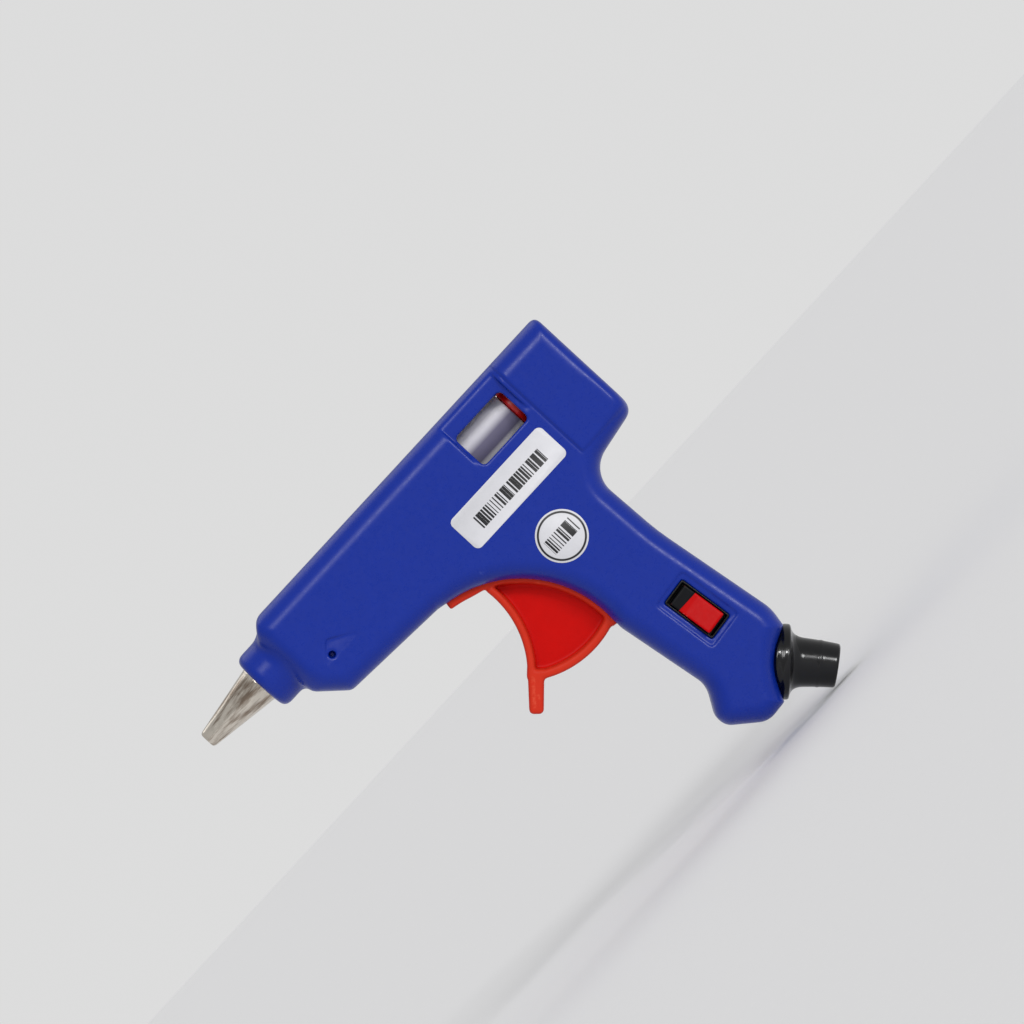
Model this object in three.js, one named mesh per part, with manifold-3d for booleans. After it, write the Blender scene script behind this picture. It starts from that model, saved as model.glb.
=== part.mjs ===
// Mini hot-melt glue gun: two casing shells, heated nozzle assembly, trigger feed, rocker switch.
// Millimetres. +X points to the rear, +Y to the right-hand side, +Z up; the nozzle points along -X.
import * as THREE from "three";
import { mergeVertices } from "three/addons/utils/BufferGeometryUtils.js";
import Module from "manifold-3d";

const wasm = await Module();
wasm.setup();

// ---------------------------------------------------------------- driving dimensions
const AXIS_Z = 18; // height of the nozzle, chamber and glue stick axis
const HALF_WIDTH = 13; // casing half width
const WALL = 2.2; // casing wall
const EDGE_INSET = 6; // how far the side's rounding reaches in from the outline
const EDGE_DEPTH = 6.5; // how far the same rounding reaches across the width
const CASING_REAR = 41.2;
const COLLAR = { front: -77.6, back: -60, radius: 8.7, wall: 1.4, frontWall: 1.6, mouth: 5.85 };
const STICK_RADIUS = 3.6; // clearance bore for a 7 mm stick

const NOZZLE = { tip: -97.7, shoulder: -75.6, spigotBack: -69.5, baseRadius: 5.55, tipRadius: 2.5 };
const CHAMBER = { front: -75.3, back: -40.2, spigotBack: -34, radius: 5.6, spigotRadius: 4.2 };
const HEATER_BLOCK = { front: -64.6, back: -45.8, halfWidth: 5.2, bottom: 6.8, top: 15 };
const HEATER_SLOT = { halfWidth: 4.2, bottom: 8.3, top: 12.3 };
const HEATER_STONE = { halfWidth: 3.6, bottom: 9.15, top: 11.45 };
const ELECTRODE = { lower: 8.7, upper: 11.5, thickness: 0.4, tabHalfWidth: 1.2, tabReach: 3 };
const FILM = { skin: 0.25, gap: 0.05, overhang: 0.8 };
const NOSE_RING = { front: -74.8, back: -70.4, inner: 5.8, outer: 7.1 };
const REAR_RING = { front: -42.2, back: -40.6, inner: 5.9, outer: 9 };
const SLEEVE = { front: -39.6, back: -25, radius: 4.9, seat: -33.4, seatBore: 4.4, mouth: 4.2 };
const SLEEVE_RING = { front: -37, back: -35, inner: 5, outer: 5.6 };

const PIVOT = { x: -24.3, z: 2.6, radius: 1.5 };
const TRIGGER_HALF_WIDTH = 6.5;
const SLOT_HALF_WIDTH = 6.9;
const ARM = { inner: 6.9, outer: 8.5 };
const LINK = {
  z: 26, front: PIVOT.x, rear: 21.4, halfWidth: 2.8, pinRadius: 1,
  below: 0.5, above: 1.1, eyeRadius: 1.7, toothDepth: 3.4, toothHalfWidth: 2,
};
const TUBE = { front: -16, back: 19.2, radius: 6.2, bore: 5.4 };
const CARRIAGE = { front: 19.5, back: 23.4, radius: 6.9, bore: 3.9, earInner: 3.1, earOuter: 4.8 };
const RIM = { blade: 2.1, floor: 2.4, archBelow: 1.9, archAbove: 2 };
const WEB_HALF_WIDTH = 2;
const FINGER = [
  [-28, -30.8], [-29.2, -32], [-35.3, -38.6, 0.8], [-33, -41.3, 0.8], [-26.2, -35.6], [-24.8, -33.6],
];
const TRIGGER_NECK = [
  [-28.8, -4.4], [-15.5, -8.4], [-19.6, -0.5], [-21.4, PIVOT.z], [-27.2, PIVOT.z],
];
const SPRING = { wire: 0.35, coilRadius: 2.2, turns: 1.5, start: -10.3, pitch: 0.77 };

const WINDOW = { front: 3.6, back: 20.9, bottom: 13.3, top: 23.7 };
const WINDOW_FRAME = { front: 1.5, back: 24.4, bottom: 11.5, top: 30, inner: 8.9, outer: 11.1 };
const SCOOP = { front: 3.1, back: 22.6, floor: 11.2 };
const REAR_PANEL = { front: 23.8, bottom: -3, height: 0.5 };
const STAND_SOCKET = { corners: [[-62.2, 8.2], [-49.3, 8.1], [-57, 12.9]], depth: 1.2 };
const STAND_HOLE = { x: -58.7, z: 9.3, radius: 0.9, depth: 3 };
const RIBS = { tube: [-13, 0.4], thickness: 2, reach: 12, bottom: 9.5, top: 29 };
const CHAMBER_RIB = { front: -44.4, back: -37.4, bottom: 12.2, bore: 6.8 };
const INLET_GUIDE = { front: 27.6, back: 29.4, bottom: 9, bore: 4.6 };
const SWITCH = { x: 14, z: -52.3, tilt: 6, width: 8, length: 15.8 };
const SWITCH_BODY = { halfWidth: 3.6, halfLength: 7.5, back: -2.6, well: -6.5, wall: 0.3, gap: 0.2 };
const SWITCH_RECESS = { halfWidth: 5.4, halfLength: 8.9, depth: 0.8 };
const ROCKER_WIDTH = 6;
const ROCKER_SIDE = [
  [-6.3, -12.5], [-1.2, -12.8], [6.2, -15.2], [6.4, -12.3], [1.5, -9.6], [-1.5, -9.6], [-6.5, -11],
];
const TERMINAL = { halfWidth: 1.4, thickness: 0.6, front: -2.5, back: 3.4, offset: 4 };
const BOOT = { x: 19.2, z: -78.4, lean: 42, flangeRadius: 9.9, length: 14.4, bore: 3 };
const BOOT_HOLE = { radius: 5, depth: 9 };
const SCREWS = [[-52, 3.4], [-48, 27.3], [34, 26.4], [33.5, -0.6], [17.6, -33], [3.8, -76.6]];
const SCREW = { head: 2.3, shank: 1.15, boss: 2.7, well: 2.6, headFrom: 6, headTo: 7.8, tip: -6.5 };
const SCREW_CROSS = { reach: 1.6, halfWidth: 0.3, depth: 0.9 };
const CLAMP = { x: 12.6, z: -68.6, reach: 4.6, lean: 51.7, postTop: 3.4, barTop: 1.2 };
const CLAMP_SCREW = { head: 1.8, shank: 0.85, headHeight: 1.4, tip: 8.4 };
const LABEL = { x0: -13.3, x1: 21.2, z0: -0.4, z1: 10.2, corner: 1.6, thickness: 0.18, gap: 0.02 };
const ROUND_LABEL = { x: 4.2, z: -13.7, radius: 7 };
const LEAD_RADIUS = 0.75;

// The leads' routes, as [x, y, z]. Both run down the right-hand side of the cavity.
const LIVE_ROUTE = [
  [13.9, 5, -48.3], [14, 7, -44], [12.2, 9.4, -28], [11.6, 9.6, -12], [8, 9.6, 1], [-10, 9.7, 5.6],
  [-26, 9.8, 8.6], [-34, 8, 7.8], [-39, 3.4, 7.2], [-42.4, 3, 7.4], [-44.1, 2.2, 10.3],
];
const NEUTRAL_ROUTE = [
  [13.5, 8.2, -58.4], [10, 9.4, -50], [9.6, 9.6, -26], [8.6, 9.7, -12], [4, 9.7, -2], [-10, 9.7, 3],
  [-26, 9.8, 5.6], [-35, 7.2, 4.8], [-39.5, 2, 5.4], [-43, 0, 7.6],
];
const CRIMP = { x: 14.2, z: -60.2, radius: 1.7, from: 5.4, to: 10.4 };

// The arcs that the trigger and the casing's front share.
const ARCH = { x: -34.7, z: -35.2, r: 32 };
const BLADE = { x: -46.4, z: -11.8, r: 26.8 };
const FLOOR_ARC = { x: -11.3, z: -12.7, r: 27.3 };

// ---------------------------------------------------------------- helpers
const radians = (degrees) => (degrees * Math.PI) / 180;

function toSolid(geometry) {
  const bare = geometry.clone();
  bare.deleteAttribute("normal");
  bare.deleteAttribute("uv");
  const merged = mergeVertices(bare, 1e-4);
  return new wasm.Manifold(new wasm.Mesh({
    numProp: 3,
    vertProperties: Float32Array.from(merged.attributes.position.array),
    triVerts: Uint32Array.from(merged.index.array),
  }));
}

function toGeometry(solid) {
  const mesh = solid.getMesh();
  const geometry = new THREE.BufferGeometry();
  geometry.setAttribute("position", new THREE.BufferAttribute(mesh.vertProperties, 3));
  geometry.setIndex(new THREE.BufferAttribute(mesh.triVerts, 1));
  geometry.computeVertexNormals();
  return geometry;
}

const join = (...solids) => solids.reduce((whole, part) => whole.add(part));
const cut = (solid, ...tools) => tools.reduce((rest, tool) => rest.subtract(tool), solid);

function box(x0, x1, y0, y1, z0, z1) {
  const geometry = new THREE.BoxGeometry(x1 - x0, y1 - y0, z1 - z0);
  geometry.translate((x0 + x1) / 2, (y0 + y1) / 2, (z0 + z1) / 2);
  return toSolid(geometry);
}

// A disc or rod along Y, centred on (x, z).
function rodY(x, z, radius, y0, y1, sides = 20) {
  const geometry = new THREE.CylinderGeometry(radius, radius, y1 - y0, sides);
  geometry.translate(x, (y0 + y1) / 2, z);
  return toSolid(geometry);
}

// A rod along the stick axis.
function rodX(radius, x0, x1, sides = 28) {
  const geometry = new THREE.CylinderGeometry(radius, radius, x1 - x0, sides);
  geometry.rotateZ(Math.PI / 2);
  geometry.translate((x0 + x1) / 2, 0, AXIS_Z);
  return toSolid(geometry);
}

// A ring turned round the stick axis; the closed profile holds [x, radius] pairs.
function turnedX(profile, sides = 28) {
  const loop = profile.map(([x, radius]) => new THREE.Vector2(radius, -x));
  const geometry = new THREE.LatheGeometry([...loop, loop[0]], sides);
  geometry.rotateZ(Math.PI / 2);
  geometry.translate(0, 0, AXIS_Z);
  return toSolid(orientedOutward(geometry));
}

// A lathe profile may run either way round; its faces are turned so that the volume is positive.
function orientedOutward(geometry) {
  const index = geometry.index.array;
  const p = geometry.attributes.position;
  const [a, b, c] = [new THREE.Vector3(), new THREE.Vector3(), new THREE.Vector3()];
  let volume = 0;
  for (let i = 0; i < index.length; i += 3) {
    a.fromBufferAttribute(p, index[i]);
    b.fromBufferAttribute(p, index[i + 1]);
    c.fromBufferAttribute(p, index[i + 2]);
    volume += a.dot(b.cross(c));
  }
  if (volume < 0) geometry.setIndex(Array.from(index).reverse());
  return geometry;
}

// An outline in the side view, drawn with corners [x, z, radius]; an arc entry is { x, z, r, from, to }.
function sideOutline(entries) {
  const points = [];
  const count = entries.length;
  const ends = (e) => (e.r === undefined ? [e, e] : [arcPoint(e, e.from), arcPoint(e, e.to)]);
  entries.forEach((entry, i) => {
    if (entry.r !== undefined) {
      const steps = Math.max(2, Math.ceil(Math.abs(entry.to - entry.from) / 7.5));
      for (let k = 0; k <= steps; k += 1) {
        points.push(arcPoint(entry, entry.from + ((entry.to - entry.from) * k) / steps));
      }
      return;
    }
    const before = ends(entries[(i + count - 1) % count])[1];
    const after = ends(entries[(i + 1) % count])[0];
    points.push(...roundedCorner(before, entry, after));
  });
  return new THREE.Shape(points.map(([x, z]) => new THREE.Vector2(x, z)));
}

const arcPoint = ({ x, z, r }, degrees) => [
  x + r * Math.cos(radians(degrees)),
  z + r * Math.sin(radians(degrees)),
];

function roundedCorner(before, corner, after) {
  const [x, z, radius = 0] = corner;
  if (radius === 0) return [[x, z]];
  const here = new THREE.Vector2(x, z);
  const back = new THREE.Vector2(before[0], before[1]).sub(here).normalize();
  const ahead = new THREE.Vector2(after[0], after[1]).sub(here).normalize();
  const halfAngle = Math.acos(THREE.MathUtils.clamp(back.dot(ahead), -1, 1)) / 2;
  const reach = radius / Math.tan(halfAngle);
  const start = here.clone().addScaledVector(back, reach);
  const end = here.clone().addScaledVector(ahead, reach);
  const centre = here.clone().addScaledVector(
    back.clone().add(ahead).normalize(), radius / Math.sin(halfAngle));
  const from = start.clone().sub(centre);
  const sweep = from.clone().cross(end.clone().sub(centre)) > 0 ? 1 : -1;
  const turn = Math.PI - 2 * halfAngle;
  const steps = Math.max(2, Math.ceil(turn / radians(20)));
  return Array.from({ length: steps + 1 }, (_, k) => {
    const p = from.clone().rotateAround(new THREE.Vector2(), (sweep * turn * k) / steps).add(centre);
    return [p.x, p.y];
  });
}

// A plate whose side-view outline is the shape, from y0 to y1.
function plate(shape, y0, y1) {
  const geometry = new THREE.ExtrudeGeometry(shape, { depth: y1 - y0, bevelEnabled: false });
  geometry.rotateX(Math.PI / 2);
  geometry.translate(0, y1, 0);
  return toSolid(geometry);
}

// A body with rounded sides: the flat outline grows by `inset` while the half width drops by `depth`.
function pillow(shape, halfWidth, inset, depth) {
  const geometry = new THREE.ExtrudeGeometry(shape, {
    depth: 2 * (halfWidth - depth),
    bevelEnabled: true,
    bevelSize: inset,
    bevelThickness: depth,
    bevelSegments: 3,
  });
  geometry.rotateX(Math.PI / 2);
  geometry.translate(0, halfWidth - depth, 0);
  return toSolid(geometry);
}

// A band between two radii of one arc, from y0 to y1.
function arcBand({ x, z }, inner, outer, from, to, y0, y1) {
  const shape = sideOutline([{ x, z, r: inner, from, to }, { x, z, r: outer, from: to, to: from }]);
  return plate(shape, y0, y1);
}

function flatBar(x0, z0, x1, z1, halfThickness, y0, y1) {
  const along = new THREE.Vector2(x1 - x0, z1 - z0).normalize().multiplyScalar(halfThickness);
  const shape = sideOutline([
    [x0 - along.y, z0 + along.x], [x0 + along.y, z0 - along.x],
    [x1 + along.y, z1 - along.x], [x1 - along.y, z1 + along.x],
  ]);
  return plate(shape, y0, y1);
}

function material(color, roughness, metalness = 0) {
  return new THREE.MeshStandardMaterial({ color, roughness, metalness });
}

const MATERIALS = {
  casing: material("#2c3a9a", 0.35),
  trigger: material("#dc3c20", 0.4),
  red: material("#c81218", 0.35),
  black: material("#14161c", 0.4),
  label: material("#e2e2e4", 0.5),
  nozzle: material("#c9c6c0", 0.25, 1),
  chamber: material("#a9abb0", 0.45, 1),
  silver: material("#c4c6cc", 0.3, 0.8),
  ceramic: material("#4a4a4c", 0.7),
  film: material("#b5741f", 0.35),
  silicone: material("#b4482e", 0.6),
  heatproof: material("#d9d2c0", 0.6),
  steel: material("#b8bbc0", 0.3, 1),
  brass: material("#c8a24c", 0.35, 1),
  leadBrown: material("#5a3320", 0.5),
  leadBlue: material("#2f62b0", 0.5),
  nylon: material("#e6e2d4", 0.6),
};

const gun = new THREE.Group();

function place(name, solid, finish) {
  const mesh = new THREE.Mesh(solid.isBufferGeometry ? solid : toGeometry(solid), finish.clone());
  mesh.name = name;
  gun.add(mesh);
}

// ---------------------------------------------------------------- casing
const flatOutline = () => sideOutline([
  [35.2, 24.3], [35.2, 1.5, 0.8], [15.2, -3.2, 12], [16.1, -31, 40], [21.3, -68.4, 1],
  [8.6, -79.9, 1.5], [3.2, -76.1, 0.8], [7.3, -69.3, 14],
  { ...ARCH, r: ARCH.r + EDGE_INSET, from: -4, to: 90 },
  [-58.8, 4.4, 1], [-63.5, 9.3, 1], [-63.5, 23.4], [-62.8, 24.3],
]);

function bootFrame() {
  const group = new THREE.Group();
  group.position.set(BOOT.x, 0, BOOT.z);
  group.rotation.y = -radians(BOOT.lean);
  group.updateMatrixWorld();
  return group;
}

// A rod along the boot's axis, from s0 to s1 outward of the seat.
function rodBoot(radius, s0, s1, sides = 24) {
  const geometry = new THREE.CylinderGeometry(radius, radius, s1 - s0, sides);
  geometry.rotateX(Math.PI / 2);
  geometry.translate(0, 0, -(s0 + s1) / 2);
  geometry.applyMatrix4(bootFrame().matrixWorld);
  return toSolid(geometry);
}

function switchFrame() {
  const group = new THREE.Group();
  group.position.set(SWITCH.x, 0, SWITCH.z);
  group.rotation.y = -radians(SWITCH.tilt);
  group.updateMatrixWorld();
  return group;
}

function switchBox(halfX, y0, y1, z0, z1) {
  const geometry = new THREE.BoxGeometry(2 * halfX, y1 - y0, z1 - z0);
  geometry.translate(0, (y0 + y1) / 2, (z0 + z1) / 2);
  geometry.applyMatrix4(switchFrame().matrixWorld);
  return toSolid(geometry);
}

// What both shells share: everything inside the rounded body that the walls and ribs are made of.
function casingWhole() {
  const outer = join(
    pillow(flatOutline(), HALF_WIDTH, EDGE_INSET, EDGE_DEPTH),
    rodX(COLLAR.radius, COLLAR.front, COLLAR.back, 32),
  );
  const cavity = join(
    pillow(flatOutline(), HALF_WIDTH - WALL, EDGE_INSET - WALL, EDGE_DEPTH - WALL),
    rodX(COLLAR.radius - COLLAR.wall, COLLAR.front + COLLAR.frontWall, COLLAR.back, 32),
  );
  return { outer, cavity };
}

// Ribs and posts that stand in the cavity, before they are trimmed to it.
function supports() {
  const { reach, top } = RIBS;
  const rib = (x0, x1, bottom, bore) => cut(
    box(x0, x1, -reach, reach, bottom, top), rodX(bore, x0 - 1, x1 + 1));
  const tubeRibs = RIBS.tube.map((x) => rib(x, x + RIBS.thickness, RIBS.bottom, TUBE.radius + 0.3));
  const ringGroove = rodX(REAR_RING.outer + 0.3, REAR_RING.front - 0.2, REAR_RING.back + 1.2);
  const chamberRib = cut(
    rib(CHAMBER_RIB.front, CHAMBER_RIB.back, CHAMBER_RIB.bottom, CHAMBER_RIB.bore), ringGroove);
  const linkRoom = box(CHAMBER_RIB.front - 1, CARRIAGE.front, -LINK.halfWidth - 1.2,
    LINK.halfWidth + 1.2, LINK.z - 3, top);
  const inletGuide = rib(INLET_GUIDE.front, INLET_GUIDE.back, INLET_GUIDE.bottom, INLET_GUIDE.bore);
  return join(cut(join(...tubeRibs, chamberRib), linkRoom), inletGuide);
}

function casingOpenings() {
  const slotShape = sideOutline([
    { ...ARCH, r: ARCH.r - 4, from: -9.5, to: 82 },
    { ...ARCH, r: ARCH.r + 3.2, from: 82, to: -9.5 },
  ]);
  return join(
    rodX(COLLAR.mouth, COLLAR.front - 1, COLLAR.front + 4, 32),
    rodX(INLET_GUIDE.bore, INLET_GUIDE.back, CASING_REAR + 2),
    plate(slotShape, -SLOT_HALF_WIDTH, SLOT_HALF_WIDTH),
    rodBoot(BOOT_HOLE.radius, -BOOT_HOLE.depth, 4),
    rodY(PIVOT.x, PIVOT.z, PIVOT.radius + 0.15, -12, 12),
  );
}

// Cuts on one side face; side is -1 on the left and +1 on the right.
function sideCuts(side) {
  const across = (near, far) => (side < 0 ? [-far, -near] : [near, far]);
  const [floor, out] = across(SCOOP.floor, 20);
  const [inner, outer] = across(WINDOW_FRAME.inner - 0.9, 20);
  const { corners, depth } = STAND_SOCKET;
  return join(
    box(SCOOP.front, SCOOP.back, floor, out, WINDOW.top - 0.5, WINDOW_FRAME.top + 4),
    box(WINDOW.front, WINDOW.back, inner, outer, WINDOW.bottom, WINDOW.top),
    plate(sideOutline(corners), ...across(HALF_WIDTH - depth, HALF_WIDTH + 2)),
    rodY(STAND_HOLE.x, STAND_HOLE.z, STAND_HOLE.radius,
      ...across(HALF_WIDTH - STAND_HOLE.depth, HALF_WIDTH + 1), 12),
  );
}

// The wall is thickened inwards behind the scoop, and the rear panel stands proud.
function sideAdditions(side, outer) {
  const across = (near, far) => (side < 0 ? [-far, -near] : [near, far]);
  const { front, back, bottom, top, inner, outer: frameOuter } = WINDOW_FRAME;
  const windowFrame = box(front, back, ...across(inner, frameOuter), bottom, top);
  const rearPanel = box(REAR_PANEL.front, 35.2, ...across(12, HALF_WIDTH + REAR_PANEL.height),
    REAR_PANEL.bottom + 4, 24.3);
  const frame = windowFrame.intersect(outer);
  return side < 0 ? join(frame, rearPanel) : frame;
}

function screwPosts(side) {
  const posts = SCREWS.map(([x, z]) => rodY(x, z, SCREW.boss + (side > 0 ? 0.6 : 0),
    ...(side < 0 ? [-12, 0] : [0, 12]), 18));
  return join(...posts);
}

function screwHoles(side) {
  const holes = SCREWS.map(([x, z]) => (side < 0
    ? rodY(x, z, SCREW.shank + 0.1, -8, 1, 14)
    : join(rodY(x, z, SCREW.shank + 0.35, -1, 7, 14), rodY(x, z, SCREW.well, SCREW.headFrom, 15, 18))));
  return join(...holes);
}

function casingShell(side) {
  const { outer, cavity } = casingWhole();
  const reach = 60;
  const half = side < 0
    ? box(-120, 80, -reach, 0, -120, 60)
    : box(-120, 80, 0, reach, -120, 60);
  const inside = join(supports(), screwPosts(side)).intersect(outer);
  let shell = join(cut(outer, cavity), inside, sideAdditions(side, outer));
  shell = cut(shell, casingOpenings(), sideCuts(side), screwHoles(side));
  if (side < 0) {
    const { halfWidth, halfLength, depth } = SWITCH_RECESS;
    const across = SWITCH_BODY.halfWidth + SWITCH_BODY.gap;
    const along = SWITCH_BODY.halfLength + SWITCH_BODY.gap;
    shell = cut(shell,
      switchBox(across, -20, SWITCH_BODY.back + 0.6, -along, along),
      switchBox(halfWidth, -20, depth - HALF_WIDTH, -halfLength, halfLength));
  }
  if (side > 0) shell = cut(join(shell, clampPosts()), clampPostHoles());
  return shell.intersect(half);
}

// ---------------------------------------------------------------- cord clamp
const clampPoint = (sign) => [
  CLAMP.x + sign * CLAMP.reach * Math.sin(radians(CLAMP.lean)),
  CLAMP.z + sign * CLAMP.reach * Math.cos(radians(CLAMP.lean)),
];

function clampPosts() {
  return join(...[-1, 1].map((sign) => rodY(...clampPoint(sign), 2, CLAMP.postTop, 12, 14)));
}

function clampPostHoles() {
  return join(...[-1, 1].map((sign) => rodY(...clampPoint(sign), 1, CLAMP.postTop - 1, 9.5, 12)));
}

function cordClamp() {
  const [x0, z0] = clampPoint(-1.45);
  const [x1, z1] = clampPoint(1.45);
  const bar = flatBar(x0, z0, x1, z1, 2, CLAMP.barTop, CLAMP.postTop - 0.1);
  const holes = [-1, 1].map((sign) => rodY(...clampPoint(sign), 1.1, 0, 5, 12));
  return cut(bar, ...holes);
}

function clampScrew(sign) {
  const [x, z] = clampPoint(sign);
  const { head, shank, headHeight, tip } = CLAMP_SCREW;
  const seat = CLAMP.barTop - 0.1;
  return join(rodY(x, z, head, seat - headHeight, seat, 14), rodY(x, z, shank, seat - 0.1, tip, 12));
}

// ---------------------------------------------------------------- hot end
function nozzle() {
  const { tip, shoulder, spigotBack, baseRadius, tipRadius } = NOZZLE;
  return turnedX([
    [tip, 1], [tip, 1.7], [tip + 0.9, tipRadius], [shoulder - 2.1, baseRadius - 0.05],
    [shoulder, baseRadius], [shoulder, 3.6], [spigotBack, 3.6], [spigotBack, 2.9],
    [shoulder - 3, 2.9], [tip + 4, 1],
  ], 32);
}

function meltChamber() {
  const { front, back, spigotBack, radius, spigotRadius } = CHAMBER;
  const body = turnedX([
    [front, 3.8], [front, radius], [back, radius], [back, spigotRadius],
    [spigotBack, spigotRadius], [spigotBack, STICK_RADIUS], [-69, STICK_RADIUS], [-69, 3.8],
  ]);
  const block = box(HEATER_BLOCK.front, HEATER_BLOCK.back, -HEATER_BLOCK.halfWidth,
    HEATER_BLOCK.halfWidth, HEATER_BLOCK.bottom, HEATER_BLOCK.top);
  const slot = box(HEATER_BLOCK.front - 1, HEATER_BLOCK.back + 1, -HEATER_SLOT.halfWidth,
    HEATER_SLOT.halfWidth, HEATER_SLOT.bottom, HEATER_SLOT.top);
  return cut(join(body, cut(block, rodX(STICK_RADIUS + 0.8, -70, -44))), slot);
}

// A plain ring round the stick axis.
function ring({ front, back, inner, outer }) {
  return turnedX([[front, inner], [front, outer], [back, outer], [back, inner]]);
}

function insulationFilm() {
  const { halfWidth, bottom, top } = HEATER_SLOT;
  const { skin, gap, overhang } = FILM;
  const [front, back] = [HEATER_BLOCK.front - overhang, HEATER_BLOCK.back + overhang];
  return cut(
    box(front, back, -halfWidth + gap, halfWidth - gap, bottom + gap, top - gap),
    box(front - 1, back + 1, -halfWidth + gap + skin, halfWidth - gap - skin,
      bottom + gap + skin, top - gap - skin),
  );
}

// The two electrodes differ only in height; each has a tab that reaches out behind the block.
function electrode(z0) {
  const { thickness, tabHalfWidth, tabReach } = ELECTRODE;
  const { halfWidth } = HEATER_STONE;
  const { front, back } = HEATER_BLOCK;
  const sheet = box(front + 0.5, back - 0.5, -halfWidth, halfWidth, z0, z0 + thickness);
  return join(sheet, box(back - 1, back + tabReach, -tabHalfWidth, tabHalfWidth, z0, z0 + thickness));
}

function heaterStone() {
  const { halfWidth, bottom, top } = HEATER_STONE;
  return box(HEATER_BLOCK.front + 1, HEATER_BLOCK.back - 1, -halfWidth, halfWidth, bottom, top);
}

function inletSleeve() {
  const { front, back, radius, seat, seatBore, mouth } = SLEEVE;
  return turnedX([
    [front, seatBore], [front, radius], [back - 1, radius], [back, radius - 0.3], [back, mouth],
    [back - 2, STICK_RADIUS], [seat, STICK_RADIUS], [seat, seatBore],
  ]);
}

// ---------------------------------------------------------------- trigger and feed
function trigger() {
  const side = TRIGGER_HALF_WIDTH;
  const bladeRim = arcBand(BLADE, BLADE.r, BLADE.r + RIM.blade, -49.5, 6, -side, side);
  const floorRim = arcBand(
    FLOOR_ARC, FLOOR_ARC.r - RIM.floor, FLOOR_ARC.r, 234.5, 289.6, -side, side);
  const archRim = arcBand(ARCH, ARCH.r - RIM.archBelow, ARCH.r + RIM.archAbove, -8, 80, -side, side);
  const finger = plate(sideOutline(FINGER), -side, side);
  const web = plate(sideOutline([
    { ...BLADE, r: BLADE.r + 1, from: 6, to: -48 },
    { ...FLOOR_ARC, r: FLOOR_ARC.r - 1, from: 238, to: 288 },
    { ...ARCH, r: ARCH.r + 1, from: -7, to: 66 },
  ]), -WEB_HALF_WIDTH, WEB_HALF_WIDTH);
  const neck = plate(sideOutline(TRIGGER_NECK), -side + 0.1, side - 0.1);
  const hub = rodY(PIVOT.x, PIVOT.z, 3.1, -ARM.outer, ARM.outer, 24);
  const arms = [[-ARM.outer, -ARM.inner], [ARM.inner, ARM.outer]].map(([y0, y1]) => join(
    flatBar(PIVOT.x, PIVOT.z, LINK.front, LINK.z, 1.5, y0, y1),
    rodY(LINK.front, LINK.z, 1.5, y0, y1, 18),
  ));
  const solid = join(bladeRim, floorRim, archRim, finger, web, neck, hub, ...arms);
  return cut(solid,
    rodY(PIVOT.x, PIVOT.z, PIVOT.radius + 0.1, -12, 12, 24),
    rodY(LINK.front, LINK.z, LINK.pinRadius + 0.05, -12, 12, 16));
}

// A torsion spring beside the left arm, wound round the pivot pin.
function returnSpring() {
  const { wire, coilRadius, turns, start, pitch } = SPRING;
  const path = new THREE.Curve();
  path.getPoint = (t, target = new THREE.Vector3()) => {
    const angle = t * turns * 2 * Math.PI + radians(90);
    return target.set(
      PIVOT.x + coilRadius * Math.cos(angle),
      start + t * turns * pitch,
      PIVOT.z + coilRadius * Math.sin(angle),
    );
  };
  const section = new THREE.Shape();
  section.absarc(0, 0, wire, 0, 2 * Math.PI);
  return new THREE.ExtrudeGeometry(section, { steps: 30, extrudePath: path, curveSegments: 3 });
}

function feedLink() {
  const { front, rear, z, halfWidth, pinRadius, below, above, eyeRadius } = LINK;
  const bar = box(front, rear, -halfWidth, halfWidth, z - below, z + above);
  const eyes = [front, rear].map((x) => rodY(x, z, eyeRadius, -halfWidth, halfWidth, 18));
  const { toothDepth: depth, toothHalfWidth } = LINK;
  const heel = plate(sideOutline([
    [rear - 1.4, z], [rear - 1.4, z - depth], [rear - 0.7, z - depth + 0.5], [rear, z - depth],
    [rear + 0.7, z - depth + 0.5], [rear + 1.4, z - depth], [rear + 1.4, z],
  ]), -toothHalfWidth, toothHalfWidth);
  return cut(join(bar, ...eyes, heel),
    rodY(front, z, pinRadius + 0.3, -9, 9, 16),
    rodY(rear, z, pinRadius + 0.06, -9, 9, 16));
}

function feedCarriage() {
  const { front, back, radius, bore, earInner, earOuter } = CARRIAGE;
  const body = turnedX([
    [front - 2.2, bore], [front - 2.2, TUBE.bore - 0.15], [front, TUBE.bore - 0.15],
    [front, radius], [back, radius], [back, bore],
  ]);
  const [earRoot, earTop] = [AXIS_Z + 4, LINK.z + 1.3];
  const ears = [[-earOuter, -earInner], [earInner, earOuter]].map(([y0, y1]) => plate(sideOutline([
    [front + 0.1, earRoot], [back - 0.1, earRoot],
    [back - 0.1, earTop, 1.2], [front + 0.1, earTop, 1.2],
  ]), y0, y1));
  return cut(join(body, ...ears),
    box(front + 0.2, back - 0.2, -earInner, earInner, AXIS_Z + 2.5, earTop + 2),
    box(front - 0.1, front + 1, -earInner, earInner, TUBE.radius + AXIS_Z, earTop + 2),
    rodY(LINK.rear, LINK.z, LINK.pinRadius + 0.05, -9, 9, 16));
}

// ---------------------------------------------------------------- switch, leads and boot
function rockerSwitchFrame() {
  const { halfWidth, halfLength, back, well, wall } = SWITCH_BODY;
  const [flangeHalf, seat] = [SWITCH.length / 2, SWITCH_RECESS.depth - HALF_WIDTH];
  const flange = switchBox(SWITCH.width / 2, -HALF_WIDTH - 0.3, seat - 0.05, -flangeHalf, flangeHalf);
  const body = switchBox(halfWidth, seat - 0.2, back, -halfLength, halfLength);
  const [inX, inZ] = [halfWidth - wall, halfLength - wall];
  return cut(join(flange, body), switchBox(inX, -20, well, -inZ, inZ));
}

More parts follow.
